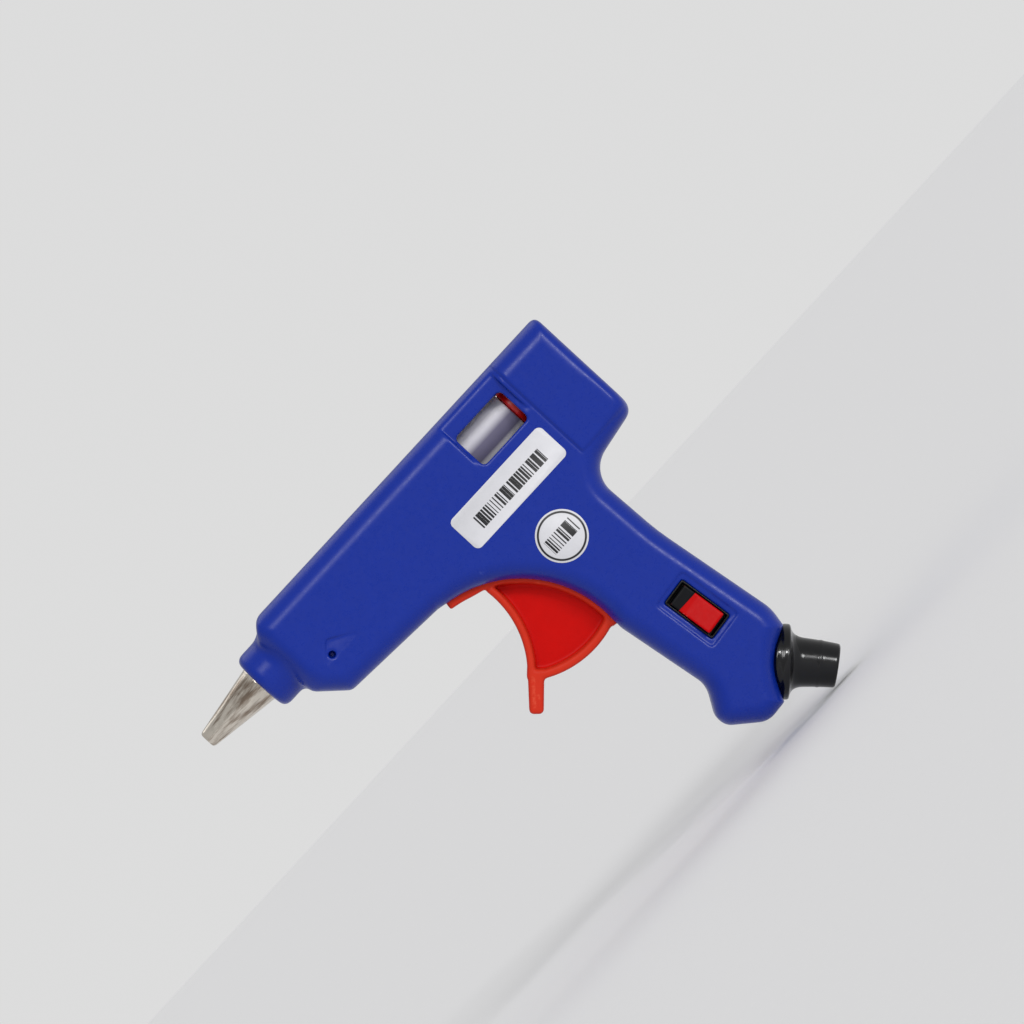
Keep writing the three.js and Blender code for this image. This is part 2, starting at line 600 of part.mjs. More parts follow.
// The rocker's side view is a shallow V, so one end stands proud when the other is pressed in.
function rocker() {
  const shape = new THREE.Shape(ROCKER_SIDE.map(([along, y]) => new THREE.Vector2(along, y)));
  const geometry = new THREE.ExtrudeGeometry(shape, { depth: ROCKER_WIDTH, bevelEnabled: false });
  geometry.translate(0, 0, -ROCKER_WIDTH / 2);
  geometry.rotateY(Math.PI / 2);
  geometry.applyMatrix4(switchFrame().matrixWorld);
  return toSolid(geometry);
}

function switchTerminal(z) {
  const { halfWidth, thickness, front, back } = TERMINAL;
  return switchBox(halfWidth, front, back, z - thickness / 2, z + thickness / 2);
}

function lead(route) {
  const points = route.map((p) => new THREE.Vector3(...p));
  const path = new THREE.CatmullRomCurve3(points, false, "centripetal");
  const section = new THREE.Shape();
  section.absarc(0, 0, LEAD_RADIUS, 0, 2 * Math.PI);
  const steps = 4 * points.length;
  return new THREE.ExtrudeGeometry(section, { steps, extrudePath: path, curveSegments: 3 });
}

// The rubber boot, turned round its own axis; each pair is [distance out from the seat, radius].
function strainReliefBoot() {
  const { flangeRadius, length, bore } = BOOT;
  const profile = [
    [-4.4, bore], [-4.4, 5.6], [-2.8, 5.6], [-2.8, 4.6], [0.3, 4.6], [0.3, flangeRadius],
    [1.4, flangeRadius], [3, 7.4], [4.6, 6.8], [length, 5.8], [length, bore],
  ];
  const loop = profile.map(([s, radius]) => new THREE.Vector2(radius, -s));
  const geometry = new THREE.LatheGeometry([...loop, loop[0]], 28);
  geometry.rotateX(Math.PI / 2);
  geometry.applyMatrix4(bootFrame().matrixWorld);
  return toSolid(orientedOutward(geometry));
}

function casingScrew([x, z]) {
  const { head, shank, headFrom, headTo, tip } = SCREW;
  const { reach, halfWidth, depth } = SCREW_CROSS;
  const [floor, above] = [headTo - depth, headTo + 1];
  const cross = join(
    box(x - reach, x + reach, floor, above, z - halfWidth, z + halfWidth),
    box(x - halfWidth, x + halfWidth, floor, above, z - reach, z + reach),
  );
  const headDisc = rodY(x, z, head, headFrom + 0.05, headTo, 18);
  return cut(join(headDisc, rodY(x, z, shank, tip, headFrom + 1, 12)), cross);
}

// ---------------------------------------------------------------- labels
const LABEL_BACK = -HALF_WIDTH - LABEL.gap;

function oblongLabel() {
  const { x0, x1, z0, z1, corner, thickness } = LABEL;
  const shape = sideOutline([[x0, z0, corner], [x1, z0, corner], [x1, z1, corner], [x0, z1, corner]]);
  return plate(shape, LABEL_BACK - thickness, LABEL_BACK);
}

function roundLabel() {
  const { x, z, radius } = ROUND_LABEL;
  return rodY(x, z, radius, LABEL_BACK - LABEL.thickness, LABEL_BACK, 36);
}

// ---------------------------------------------------------------- assembly
place("left_shell", casingShell(-1), MATERIALS.casing);
place("right_shell", casingShell(1), MATERIALS.casing);
place("oblong_label", oblongLabel(), MATERIALS.label);
place("round_label", roundLabel(), MATERIALS.label);
SCREWS.forEach((spot, i) => place(`casing_screw_${i + 1}`, casingScrew(spot), MATERIALS.steel));

place("nozzle", nozzle(), MATERIALS.nozzle);
place("melt_chamber", meltChamber(), MATERIALS.chamber);
place("nose_ring", ring(NOSE_RING), MATERIALS.heatproof);
place("rear_support_ring", ring(REAR_RING), MATERIALS.heatproof);
place("insulation_film", insulationFilm(), MATERIALS.film);
place("ptc_heater", heaterStone(), MATERIALS.ceramic);
place("lower_electrode", electrode(ELECTRODE.lower), MATERIALS.brass);
place("upper_electrode", electrode(ELECTRODE.upper), MATERIALS.brass);
place("inlet_sleeve", inletSleeve(), MATERIALS.silicone);
place("sleeve_clamp_ring", ring(SLEEVE_RING), MATERIALS.steel);

place("trigger", trigger(), MATERIALS.trigger);
place("trigger_pivot_pin", rodY(PIVOT.x, PIVOT.z, PIVOT.radius, -11.7, 11.7, 24), MATERIALS.steel);
place("trigger_return_spring", returnSpring(), MATERIALS.steel);
place("front_link_pin", rodY(LINK.front, LINK.z, LINK.pinRadius, -8.4, 8.4, 16), MATERIALS.steel);
place("feed_link", feedLink(), MATERIALS.nylon);
place("rear_link_pin", rodY(LINK.rear, LINK.z, LINK.pinRadius, -4.7, 4.7, 16), MATERIALS.steel);
place("feed_carriage", feedCarriage(), MATERIALS.red);
place("feed_tube", ring({ ...TUBE, inner: TUBE.bore, outer: TUBE.radius }), MATERIALS.silver);

place("switch_frame", rockerSwitchFrame(), MATERIALS.black);
place("switch_rocker", rocker(), MATERIALS.red);
place("switch_terminal_live", switchTerminal(-TERMINAL.offset), MATERIALS.brass);
place("switch_terminal_heater", switchTerminal(TERMINAL.offset), MATERIALS.brass);
place("heater_lead_live", lead(LIVE_ROUTE), MATERIALS.leadBrown);
place("heater_lead_neutral", lead(NEUTRAL_ROUTE), MATERIALS.leadBlue);
place("crimp_joint", rodY(CRIMP.x, CRIMP.z, CRIMP.radius, CRIMP.from, CRIMP.to, 12), MATERIALS.nylon);
place("cord_clamp", cordClamp(), MATERIALS.nylon);
place("cord_clamp_screw_lower", clampScrew(-1), MATERIALS.steel);
place("cord_clamp_screw_upper", clampScrew(1), MATERIALS.steel);
place("strain_relief_boot", strainReliefBoot(), MATERIALS.black);

// The origin is set at the bottom centre of the whole gun.
const bounds = new THREE.Box3().setFromObject(gun);
gun.position.set(-(bounds.min.x + bounds.max.x) / 2, -(bounds.min.y + bounds.max.y) / 2, -bounds.min.z);

export default gun;
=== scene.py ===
"""Mini hot-melt glue gun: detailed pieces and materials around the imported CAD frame.

Shapes are worked out in gun millimetres, with +X to the rear, +Y to the right-hand side and +Z up,
and are placed in the frame from the feed tube, which is turned round the glue stick's axis.
"""

import math

import bpy
import numpy as np
from mathutils import Matrix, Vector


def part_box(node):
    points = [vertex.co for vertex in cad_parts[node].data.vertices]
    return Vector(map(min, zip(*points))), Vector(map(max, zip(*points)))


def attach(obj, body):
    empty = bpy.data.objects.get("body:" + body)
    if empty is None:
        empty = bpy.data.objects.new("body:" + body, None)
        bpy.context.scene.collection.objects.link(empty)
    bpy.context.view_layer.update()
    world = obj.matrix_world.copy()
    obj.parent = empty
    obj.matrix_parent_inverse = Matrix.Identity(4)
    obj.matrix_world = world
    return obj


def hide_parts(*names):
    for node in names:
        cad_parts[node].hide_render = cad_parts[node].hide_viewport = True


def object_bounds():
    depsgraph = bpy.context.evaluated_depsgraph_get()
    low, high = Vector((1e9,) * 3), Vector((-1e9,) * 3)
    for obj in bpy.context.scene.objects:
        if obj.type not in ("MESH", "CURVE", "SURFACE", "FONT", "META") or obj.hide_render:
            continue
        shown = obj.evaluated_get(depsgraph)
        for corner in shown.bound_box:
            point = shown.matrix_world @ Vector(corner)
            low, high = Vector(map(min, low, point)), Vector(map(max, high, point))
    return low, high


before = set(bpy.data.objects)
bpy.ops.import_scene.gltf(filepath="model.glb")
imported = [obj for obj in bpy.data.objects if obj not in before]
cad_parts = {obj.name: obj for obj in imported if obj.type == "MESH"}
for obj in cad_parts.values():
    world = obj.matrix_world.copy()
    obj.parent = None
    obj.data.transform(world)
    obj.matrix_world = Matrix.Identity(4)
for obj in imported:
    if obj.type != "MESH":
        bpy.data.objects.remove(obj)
cad_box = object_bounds()

MM = 0.001

# ---------------- dimensions, gun millimetres
AXIS_Z = 18.0  # the glue stick's axis
HALF_WIDTH = 13.0
TOP_Z = 30.2
REAR_X = 41.2
WALL = 2.2
PARTING_GAP = 0.005  # from the middle plane to each shell's rim
EDGE_DEPTH = 6.5  # how far the side's rounding reaches across the width
EDGE_INSET_LOW = 5.2  # how far it reaches in from the outline, on the handle and underside
EDGE_INSET_TOP = 6.3  # and along the top
EDGE_CHANGE = (4, 16)  # between these heights it changes from one to the other
FACE_X = -69.8  # the flat round the collar
NOSE_SLANT = {"x": -66.3, "lean": 37.5}  # the flats that narrow the nose from the sides
NOSE_CHAMFER = {"x": -65.6, "normal": (-0.75, 0.662)}  # the flat that cuts its upper corner
COLLAR = {"front": -77.6, "back": -60.0, "radius": 8.9, "z": 17.7, "wall": 1.4,
          "front_wall": 1.6, "mouth": 5.85, "mouth_depth": 4.0}
REAR_PANEL = {"front": 23.8, "bottom": -3.0, "height": 0.45, "groove_width": 0.35,
              "groove_depth": 0.22, "groove_start": (23.0, 23.6)}
WINDOW = {"front": 3.8, "back": 20.9, "bottom": 13.3, "top": 23.8, "corner": 1.3, "inner": 8.0}
WINDOW_WALL = {"x": (1.5, 24.4), "z": (11.5, 30.0), "inner": 8.9}
SCOOP = {"front": 3.0, "back": 22.5, "bottom": 10.5, "top": 23.0, "floor": 11.2, "slope": 1.4,
         "curl": 3.0}
# socket of the wire stand: its floor slopes from the bottom up
STAND = {"bottom": 8.0, "height": 4.0, "depth": 0.6, "hole": (-58.7, 9.2, 0.95),
         "hole_floor": 10.0}

TUBE_RIBS = {"x": ((-13.0, -11.0), (0.4, 2.2)), "bottom": 9.5, "bore": 6.5}
CHAMBER_RIB = {"x": (-44.4, -37.4), "bottom": 12.2, "bore": 6.8, "groove": (-42.4, -39.4),
               "groove_radius": 9.3}
STICK_GUIDE = {"x": (27.6, 29.4), "bottom": 9.0, "bore": 4.6}
INLET_FRONT = 29.0
LINK_CHANNEL = {"x": (-60.0, 20.0), "z": (23.0, 29.0), "half_width": 4.0}

PIVOT = (-24.3, 2.6)  # x, z of the trigger's pin
PIVOT_BORE = 1.6
PIVOT_REACH = 12.0  # how far the pin's bore goes into each side
ARCH = (-34.7, -35.2, 32.0)  # x, z, radius of the arc that the trigger and the casing follow
BLADE = (-46.4, -11.8, 26.8)  # the arc of the trigger's front edge
FLOOR_ARC = (-11.3, -12.7, 27.3)  # and of its lower edge
SLOT = {"inner": 28.0, "outer": 35.2, "angles": (-9.5, 82.0), "half_width": 6.9}
# thickness of the trigger's rims, and their half width
RIM = {"blade": 2.1, "floor": 2.4, "arch": 1.9, "arch_taper": 0.8, "half_width": 6.5}
WEB_HALF_THICKNESS = 2.0
NECK_HALF_WIDTH = 6.4
HUB_RADIUS = 3.1
ARM = {"half_width": 1.5, "inner": 6.9, "outer": 8.5}
LINK_Z = 26.0  # height of both link pins
LINK_PIN_BORE = 1.05
TUBE_FRONT = -16.0
CARRIAGE = {"ring": 6.9, "collar": 5.25, "bore": 3.9, "ear_inner": 3.1, "ear_outer": 4.8,
            "pin_x": 21.4}

SWITCH = {"x": 14.0, "z": -52.3, "tilt": 6.0, "recess_depth": 0.4, "well_floor": -6.5,
          "rocker_half_width": 3.15, "rocker_seam": 3.2}
# half width, half length and corner radius of the rectangles round the switch
RECESS = (5.4, 8.9, 0.8)
OPENING = (3.8, 7.7, 0.4)
FLANGE = (3.9, 7.8, 0.5)
SWITCH_BODY = (3.6, 7.5, 0.4)
SWITCH_WELL = (3.35, 7.2, 0.3)
BOOT_SEAT = {"ends": ((26.2, -71.8), (11.8, -85.5)), "sag": 2.4}
BOOT = {"x": 19.2, "z": -78.4, "lean": 42.0, "end_lean": 34.5, "length": 14.4, "bore": 3.0,
        "flange": 9.9, "plug": 9.7, "neck": 4.6, "barb": 5.5, "end_radius": 5.75, "taper": 0.85,
        "ridge": 0.12, "ridge_at": 9.5, "casing_bore": 5.0}
CLAMP = {"x": 12.6, "z": -68.6, "lean": 51.7, "half_pitch": 4.6, "post": 2.0, "post_end": 3.4,
         "hole": 1.0, "hole_floor": 9.5}
# x, z of the casing screws
SCREWS = [(-52, 3.4), (-48, 27.3), (34, 26.4), (33.5, -0.6), (17.6, -33), (3.8, -76.6)]
SCREW = {"head": 2.25, "shank": 1.0, "thread": 0.14, "pitch": 0.9, "slot": 0.32}
SCREW_POST = {-1: 2.7, 1: 3.3}  # radius on the left and on the right
PILOT_HOLE = 1.25
PILOT_FLOOR = 8.0
WELL = {"hole": 1.5, "hole_end": 7.0, "radius": 2.6, "floor": 6.0}
LABEL_THICKNESS = 0.16
LABEL_GAP = 0.02
ROUND_LABEL = (4.2, -13.7, 7.0)  # x, z, radius
PRINTED_RING = (5.95, 6.5)
PRINTED_BLOCK = {"x": (-8.0, 17.0), "z": (2.4, 6.4), "pitch": 0.9, "share": 0.7}
PRINTED_MARK = {"x": (-4.6, 4.6), "z": (-2.2, 2.2), "pitch": 0.85, "share": 0.75}

tube_low, tube_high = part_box("feed_tube")
ORIGIN = np.array([
    tube_low.x - TUBE_FRONT * MM,
    (tube_low.y + tube_high.y) / 2,
    (tube_low.z + tube_high.z) / 2 - AXIS_Z * MM,
])


# ---------------- outlines in the side view
ARC_STEP = 4.0
CORNER_STEP = 6.0


def arc(circle, start, end):
    """Points on (x, z, radius) from one angle to another, in degrees."""
    x, z, radius = circle
    count = max(2, math.ceil(abs(end - start) / ARC_STEP))
    angles = np.radians(np.linspace(start, end, count + 1))
    return [(x + radius * math.cos(a), z + radius * math.sin(a)) for a in angles]


def rounded_corner(before, corner, after):
    """Points along the arc that rounds off the corner (x, z, radius) between its neighbours."""
    here, radius = np.array(corner[:2], float), corner[2]
    back, ahead = np.array(before[:2]) - here, np.array(after[:2]) - here
    back, ahead = back / np.linalg.norm(back), ahead / np.linalg.norm(ahead)
    half = math.acos(np.clip(back @ ahead, -1, 1)) / 2
    middle = back + ahead
    centre = here + middle / np.linalg.norm(middle) * radius / math.sin(half)
    start = here + back * radius / math.tan(half) - centre
    end = here + ahead * radius / math.tan(half) - centre
    turn = math.atan2(start[0] * end[1] - start[1] * end[0], start @ end)
    count = max(2, math.ceil(abs(math.degrees(turn)) / CORNER_STEP))
    first = math.atan2(start[1], start[0])
    return [(centre[0] + radius * math.cos(first + turn * k / count),
             centre[1] + radius * math.sin(first + turn * k / count)) for k in range(count + 1)]


def outline(*entries):
    """A closed outline: (x, z), (x, z, corner radius), or a list of points such as an arc."""
    ends = [(e[0], e[-1]) if isinstance(e, list) else (e, e) for e in entries]
    points = []
    for i, entry in enumerate(entries):
        if isinstance(entry, list):
            points += entry
        elif len(entry) == 2:
            points.append(entry)
        else:
            points += rounded_corner(ends[i - 1][1], entry, ends[(i + 1) % len(ends)][0])
    return np.array(points)


def outline_distance(points, x, z):
    """Distance to the outline in the side view, negative inside."""
    x, z = np.broadcast_arrays(x, z)
    nearest = np.full(x.shape, np.inf)
    inside = np.zeros(x.shape, bool)
    for (ax, az), (bx, bz) in zip(points, np.roll(points, -1, axis=0)):
        ex, ez = bx - ax, bz - az
        if ex * ex + ez * ez < 1e-12:
            continue
        t = np.clip(((x - ax) * ex + (z - az) * ez) / (ex * ex + ez * ez), 0, 1)
        nearest = np.minimum(nearest, (x - ax - t * ex) ** 2 + (z - az - t * ez) ** 2)
        if ez:
            inside ^= ((az > z) != (bz > z)) & (x < ax + (z - az) * ex / ez)
    return np.where(inside, -1, 1) * np.sqrt(nearest)


# ---------------- solids as distance fields
def both(a, b, rounding=0.0):
    """What two solids share, with the edge between them rounded."""
    if not rounding:
        return np.maximum(a, b)
    overlap = np.maximum(rounding - np.abs(a - b), 0)
    return np.maximum(a, b) + overlap * overlap / (4 * rounding)


def either(a, b, fillet=0.0):
    """Two solids joined, with a fillet between them."""
    return -both(-a, -b, fillet)


def without(a, b, rounding=0.0):
    """The first solid with the second cut away."""
    return both(a, -b, rounding)


def slab(value, low, high, rounding=0.0):
    return both(low - value, value - high, rounding)


def rounded_box(a, b, centre_a, centre_b, half_a, half_b, corner):
    """A rounded rectangle in two of the coordinates."""
    qa, qb = np.abs(a - centre_a) - half_a + corner, np.abs(b - centre_b) - half_b + corner
    outside = np.hypot(np.maximum(qa, 0), np.maximum(qb, 0))
    return outside + np.minimum(np.maximum(qa, qb), 0) - corner


def rod(a, b, centre_a, centre_b, radius):
    return np.hypot(a - centre_a, b - centre_b) - radius


def smooth_step(value, low, high):
    t = np.clip((value - low) / (high - low), 0, 1)
    return t * t * (3 - 2 * t)


def arc_band(circle, inner, outer, start, end, x, z):
    """A band along an arc, cut square at its two angles."""
    cx, cz, _ = circle
    radius = np.hypot(x - cx, z - cz)
    band = np.abs(radius - (inner + outer) / 2) - (outer - inner) / 2
    middle, reach = math.radians((start + end) / 2), math.radians((end - start) / 2)
    angle = np.angle(np.exp(1j * (np.arctan2(z - cz, x - cx) - middle)))
    return both(band, (np.abs(angle) - reach) * radius, 0.5)


def bar(x, z, x0, z0, x1, z1, half):
    """A straight bar between two points with square ends."""
    length = math.hypot(x1 - x0, z1 - z0)
    ux, uz = (x1 - x0) / length, (z1 - z0) / length
    along = (x - x0) * ux + (z - z0) * uz
    across = (z - z0) * ux - (x - x0) * uz
    return both(np.abs(along - length / 2) - length / 2, np.abs(across) - half)


# ---------------- meshes
SETTLING_PASSES = 3


def sample(values, at):
    """Reads a regular grid of values between its points; at is in grid steps."""
    base = np.clip(np.floor(at).astype(int), 0, np.array(values.shape) - 2)
    t = at - base
    i, j, k = base.T
    total = np.zeros(len(at))
    for di in (0, 1):
        for dj in (0, 1):
            for dk in (0, 1):
                weight = (np.where(di, t[:, 0], 1 - t[:, 0]) * np.where(dj, t[:, 1], 1 - t[:, 1])
                          * np.where(dk, t[:, 2], 1 - t[:, 2]))
                total += weight * values[i + di, j + dj, k + dk]
    return total


def slope(values, at, reach):
    """How fast a regular grid of values changes along each axis, per grid step."""
    columns = []
    for axis in range(3):
        shift = np.zeros(3)
        shift[axis] = reach
        columns.append((sample(values, at + shift) - sample(values, at - shift)) / (2 * reach))
    return np.stack(columns, axis=1)


def surface(values):
    """Quads round the zero level of a grid of values: one point in each cell that it crosses."""
    inside = values < 0
    corners = [(i, j, k) for i in (0, 1) for j in (0, 1) for k in (0, 1)]
    size = np.array(values.shape) - 1

    def corner_view(array, corner):
        i, j, k = corner
        return array[i:i + size[0], j:j + size[1], k:k + size[2]]

    count = sum(corner_view(inside, c).astype(np.int8) for c in corners)
    crossed = (count > 0) & (count < 8)
    cells = np.argwhere(crossed)
    number = np.full(crossed.shape, -1)
    number[crossed] = np.arange(len(cells))
    total, crossings = np.zeros((len(cells), 3)), np.zeros(len(cells))
    for axis in range(3):
        for start in corners:
            if start[axis]:
                continue
            end = tuple(c + (a == axis) for a, c in enumerate(start))
            a = values[tuple((cells + start).T)]
            b = values[tuple((cells + end).T)]
            cross = (a < 0) != (b < 0)
            t = np.where(cross, a / np.where(cross, a - b, 1), 0)
            spot = np.array(start, float) + t[:, None] * np.eye(3)[axis]
            total += spot * cross[:, None]
            crossings += cross
    points = cells + total / crossings[:, None]
    for _ in range(SETTLING_PASSES):
        gradient = slope(values, points, 0.5)
        step = sample(values, points)[:, None] * gradient
        step /= np.maximum((gradient ** 2).sum(axis=1, keepdims=True), 1e-6)
        points -= np.clip(step, -0.3, 0.3)
        points = np.clip(points, cells - 0.2, cells + 1.2)
    quads = []
    for axis in range(3):
        u, v = (axis + 1) % 3, (axis + 2) % 3
        near = np.take(inside, range(size[axis]), axis)
        far = np.take(inside, range(1, size[axis] + 1), axis)
        edges = np.argwhere(near != far)
        edges = edges[(edges[:, u] > 0) & (edges[:, v] > 0)
                      & (edges[:, u] < size[u]) & (edges[:, v] < size[v])]
        ring = []
        for du, dv in ((-1, -1), (0, -1), (0, 0), (-1, 0)):
            shift = np.zeros(3, int)
            shift[u], shift[v] = du, dv
            ring.append(number[tuple((edges + shift).T)])
        quad = np.stack(ring, axis=1)
        outward = near[tuple(edges.T)]
        quads.append(np.where(outward[:, None], quad, quad[:, ::-1]))
    normals = slope(values, points, 0.7)
    normals /= np.maximum(np.linalg.norm(normals, axis=1, keepdims=True), 1e-9)
    return points, np.concatenate(quads), normals


def to_frame(points):
    return points * MM + ORIGIN


def new_object(name, points, faces, normals=None):
    mesh = bpy.data.meshes.new(name)
    mesh.from_pydata(points, [], faces)
    mesh.polygons.foreach_set("use_smooth", np.ones(len(mesh.polygons), bool))
    mesh.update()
    if normals is not None:
        mesh.normals_split_custom_set_from_vertices(normals)
    obj = bpy.data.objects.new(name, mesh)
    bpy.context.scene.collection.objects.link(obj)
    return obj


def moulded(name, field, low, high, step, turn=None):
    """A solid piece from a distance field, sampled in a box; turn maps its points to the gun."""
    axes = [np.arange(a - 1.5 * step, b + 2.5 * step, step) for a, b in zip(low, high)]
    x, y, z = np.meshgrid(*axes, indexing="ij", sparse=True)
    values = np.broadcast_to(field(x, y, z), [len(a) for a in axes])
    points, quads, normals = surface(np.ascontiguousarray(values))
    points = points * step + np.array([a[0] for a in axes])
    if turn is not None:
        points, normals = turn(points), turn(normals) - turn(np.zeros((1, 3)))
    return new_object(name, to_frame(points), quads, normals)


def lathe(name, profile):
    """A piece turned round the stick's axis; the closed profile holds (x, radius)."""
    segments = 96
    angles = 2 * math.pi * np.arange(segments) / segments
    points = np.concatenate([
        np.stack([np.full(segments, x), radius * np.sin(angles), AXIS_Z + radius * np.cos(angles)],
                 axis=1) for x, radius in profile])
    count = len(profile)
    a = np.arange(segments)
    b = (a + 1) % segments
    faces = [np.stack([i * segments + a, i * segments + b, (i + 1) % count * segments + b,
                       (i + 1) % count * segments + a], axis=1) for i in range(count)]
    obj = new_object(name, to_frame(points), np.concatenate(faces))
    face_outward(obj)
    obj.data.set_sharp_from_angle(angle=math.radians(35))
    return obj


def face_outward(obj):
    """Turns the faces over if the volume they enclose comes out negative."""
    mesh = obj.data
    mesh.calc_loop_triangles()
    corners = np.empty(len(mesh.loop_triangles) * 3, int)
    mesh.loop_triangles.foreach_get("vertices", corners)
    points = np.empty(len(mesh.vertices) * 3)
    mesh.vertices.foreach_get("co", points)
    a, b, c = (points.reshape(-1, 3)[corners.reshape(-1, 3)[:, i]] for i in range(3))
    if np.einsum("ij,ij->i", a, np.cross(b, c)).sum() < 0:
        mesh.flip_normals()


# ---------------- materials
SOFT_LINE = 0.04 * MM  # half the blur of a line between two colours
WORN = (0.53, 0.64)  # pointiness from which an edge starts to wear, and where it is fully worn
WORN_AMOUNT = 0.3
MOTTLE_SCALE = 350


def linear(colour):
    """sRGB 0..255 to linear."""
    return [((c / 255 + 0.055) / 1.055) ** 2.4 if c > 10 else c / 255 / 12.92 for c in colour]


class Finish:
    """A node material: a base colour that varies, roughness that varies, bump, and worn edges."""

    def __init__(self, name, colour, roughness, metallic=0.0, coat=0.0, specular=0.5):
        self.material = bpy.data.materials.new(name)
        self.material.use_nodes = True
        self.nodes = self.material.node_tree.nodes
        self.links = self.material.node_tree.links
        self.shader = self.nodes["Principled BSDF"]
        self.shader.inputs["Metallic"].default_value = metallic
        self.shader.inputs["Coat Weight"].default_value = coat
        self.shader.inputs["Coat Roughness"].default_value = 0.12
        self.shader.inputs["Specular IOR Level"].default_value = specular
        coordinates = self.node("ShaderNodeTexCoord")
        self.place = coordinates.outputs["Object"]
        self.facing = coordinates.outputs["Normal"]
        self.roughness = roughness
        self.colour = self.rgb(colour)

    def node(self, kind, **inputs):
        made = self.nodes.new(kind)
        for name, value in inputs.items():
            self.put(made.inputs[name.replace("_", " ")], value)
        return made

    def put(self, socket, value):
        if isinstance(value, bpy.types.NodeSocket):
            self.links.new(value, socket)
        else:
            socket.default_value = value

    def rgb(self, colour):
        made = self.nodes.new("ShaderNodeRGB")
        made.outputs[0].default_value = (*linear(colour), 1)
        return made.outputs[0]

    def math(self, operation, a, b=0.0, c=0.0):
        made = self.nodes.new("ShaderNodeMath")
        made.operation = operation
        for socket, value in zip(made.inputs, (a, b, c)):
            self.put(socket, value)
        return made.outputs[0]

    def range(self, value, low, high, to_low=0.0, to_high=1.0):
        made = self.node("ShaderNodeMapRange", Value=value, From_Min=low, From_Max=high,
                         To_Min=to_low, To_Max=to_high)
        return made.outputs[0]

    def noise(self, scale, detail=3.0, rough=0.5, where=None):
        """Noise whose features are about 1 / scale metres across."""
        made = self.node("ShaderNodeTexNoise", Vector=where or self.place, Scale=scale,
                         Detail=detail, Roughness=rough)
        return made.outputs["Fac"]

    def mix(self, share, a, b):
        made = self.nodes.new("ShaderNodeMix")
        made.data_type = "RGBA"
        self.put(made.inputs[0], share)
        self.put(made.inputs[6], a)
        self.put(made.inputs[7], b)
        return made.outputs[2]

    def stretched(self, scale):
        """Object coordinates stretched along the axes, for brushed or turned marks."""
        made = self.node("ShaderNodeMapping", Vector=self.place, Scale=scale)
        return made.outputs[0]

    def worn_edges(self, colour):
        """Lightens the convex edges, broken up by noise."""
        edge = self.nodes.new("ShaderNodeNewGeometry").outputs["Pointiness"]
        broken = self.range(self.noise(900, 4), 0.4, 0.62, 0, WORN_AMOUNT)
        share = self.math("MULTIPLY", self.range(edge, *WORN), broken)
        self.colour = self.mix(share, self.colour, self.rgb(colour))

    def done(self, bump=None, strength=0.1, depth=0.0001, mottle=0.05, spread=0.06):
        """Adds mottling and roughness variation, and links everything to the shader."""
        patches = self.noise(MOTTLE_SCALE, 4, 0.6)
        dark = self.mix(self.range(patches, 0.3, 0.7, 0, mottle), self.colour, self.rgb((0, 0, 0)))
        self.links.new(dark, self.shader.inputs["Base Color"])
        patches = self.noise(MOTTLE_SCALE * 2.3, 5, 0.62)
        rough = self.range(patches, 0.3, 0.7, self.roughness - spread, self.roughness + spread)
        self.links.new(rough, self.shader.inputs["Roughness"])
        made = self.node("ShaderNodeBump", Strength=strength, Distance=depth,
                         Height=bump if bump is not None else self.noise(2200, 2))
        self.links.new(made.outputs[0], self.shader.inputs["Normal"])
        return self.material


def moulded_plastic(name, colour, roughness, edge_colour, grain=1500, strength=0.12, **more):
    """Plastic or rubber with a fine moulded grain and paler worn edges."""
    finish = Finish(name, colour, roughness, **more)
    finish.worn_edges(edge_colour)
    return finish.done(bump=finish.noise(grain, 3, 0.55), strength=strength)


def turned_metal(name, colour, roughness, stretch, stain_and_reflection=None):
    """Metal with fine tool marks; stretch makes them run round the axis or along it."""
    finish = Finish(name, colour, roughness, metallic=1.0)
    marks = finish.noise(1.0, 3, 0.6, where=finish.stretched(stretch))
    # Streaks along X in a second colour: on the nozzle they are painted reflections, dark and
    # brownish; on the screws and the brass strip they are stain.
    if stain_and_reflection is not None:
        streaks = finish.noise(1.0, 4, 0.6, where=finish.stretched((24, 700, 700)))
        share = finish.range(streaks, 0.46, 0.66, 0, 0.75)
        finish.colour = finish.mix(share, finish.colour, finish.rgb(stain_and_reflection))
    return finish.done(bump=marks, strength=0.25, depth=0.00005, mottle=0.12, spread=0.08)


def trigger_plastic():
    """Red plastic with painted shade: a darker, deeper red on the recessed web than on the rims."""
    finish = Finish("trigger_plastic", (208, 50, 30), 0.4, specular=0.1)
    y = finish.node("ShaderNodeSeparateXYZ", Vector=finish.place).outputs["Y"]
    out = finish.math("ABSOLUTE", finish.math("SUBTRACT", y, float(ORIGIN[1])))
    sideways = finish.node("ShaderNodeSeparateXYZ", Vector=finish.facing).outputs["Y"]
    # painted shade: the faces of the recessed web get a darker, deeper red
    web = finish.math("MULTIPLY", finish.range(out, 2.4 * MM, 5.0 * MM, 1, 0),
                      finish.range(finish.math("ABSOLUTE", sideways), 0.3, 0.8))
    finish.colour = finish.mix(web, finish.colour, finish.rgb((204, 4, 0)))
    finish.worn_edges((240, 110, 80))
    return finish.done(bump=finish.noise(1500, 3, 0.55), strength=0.12)


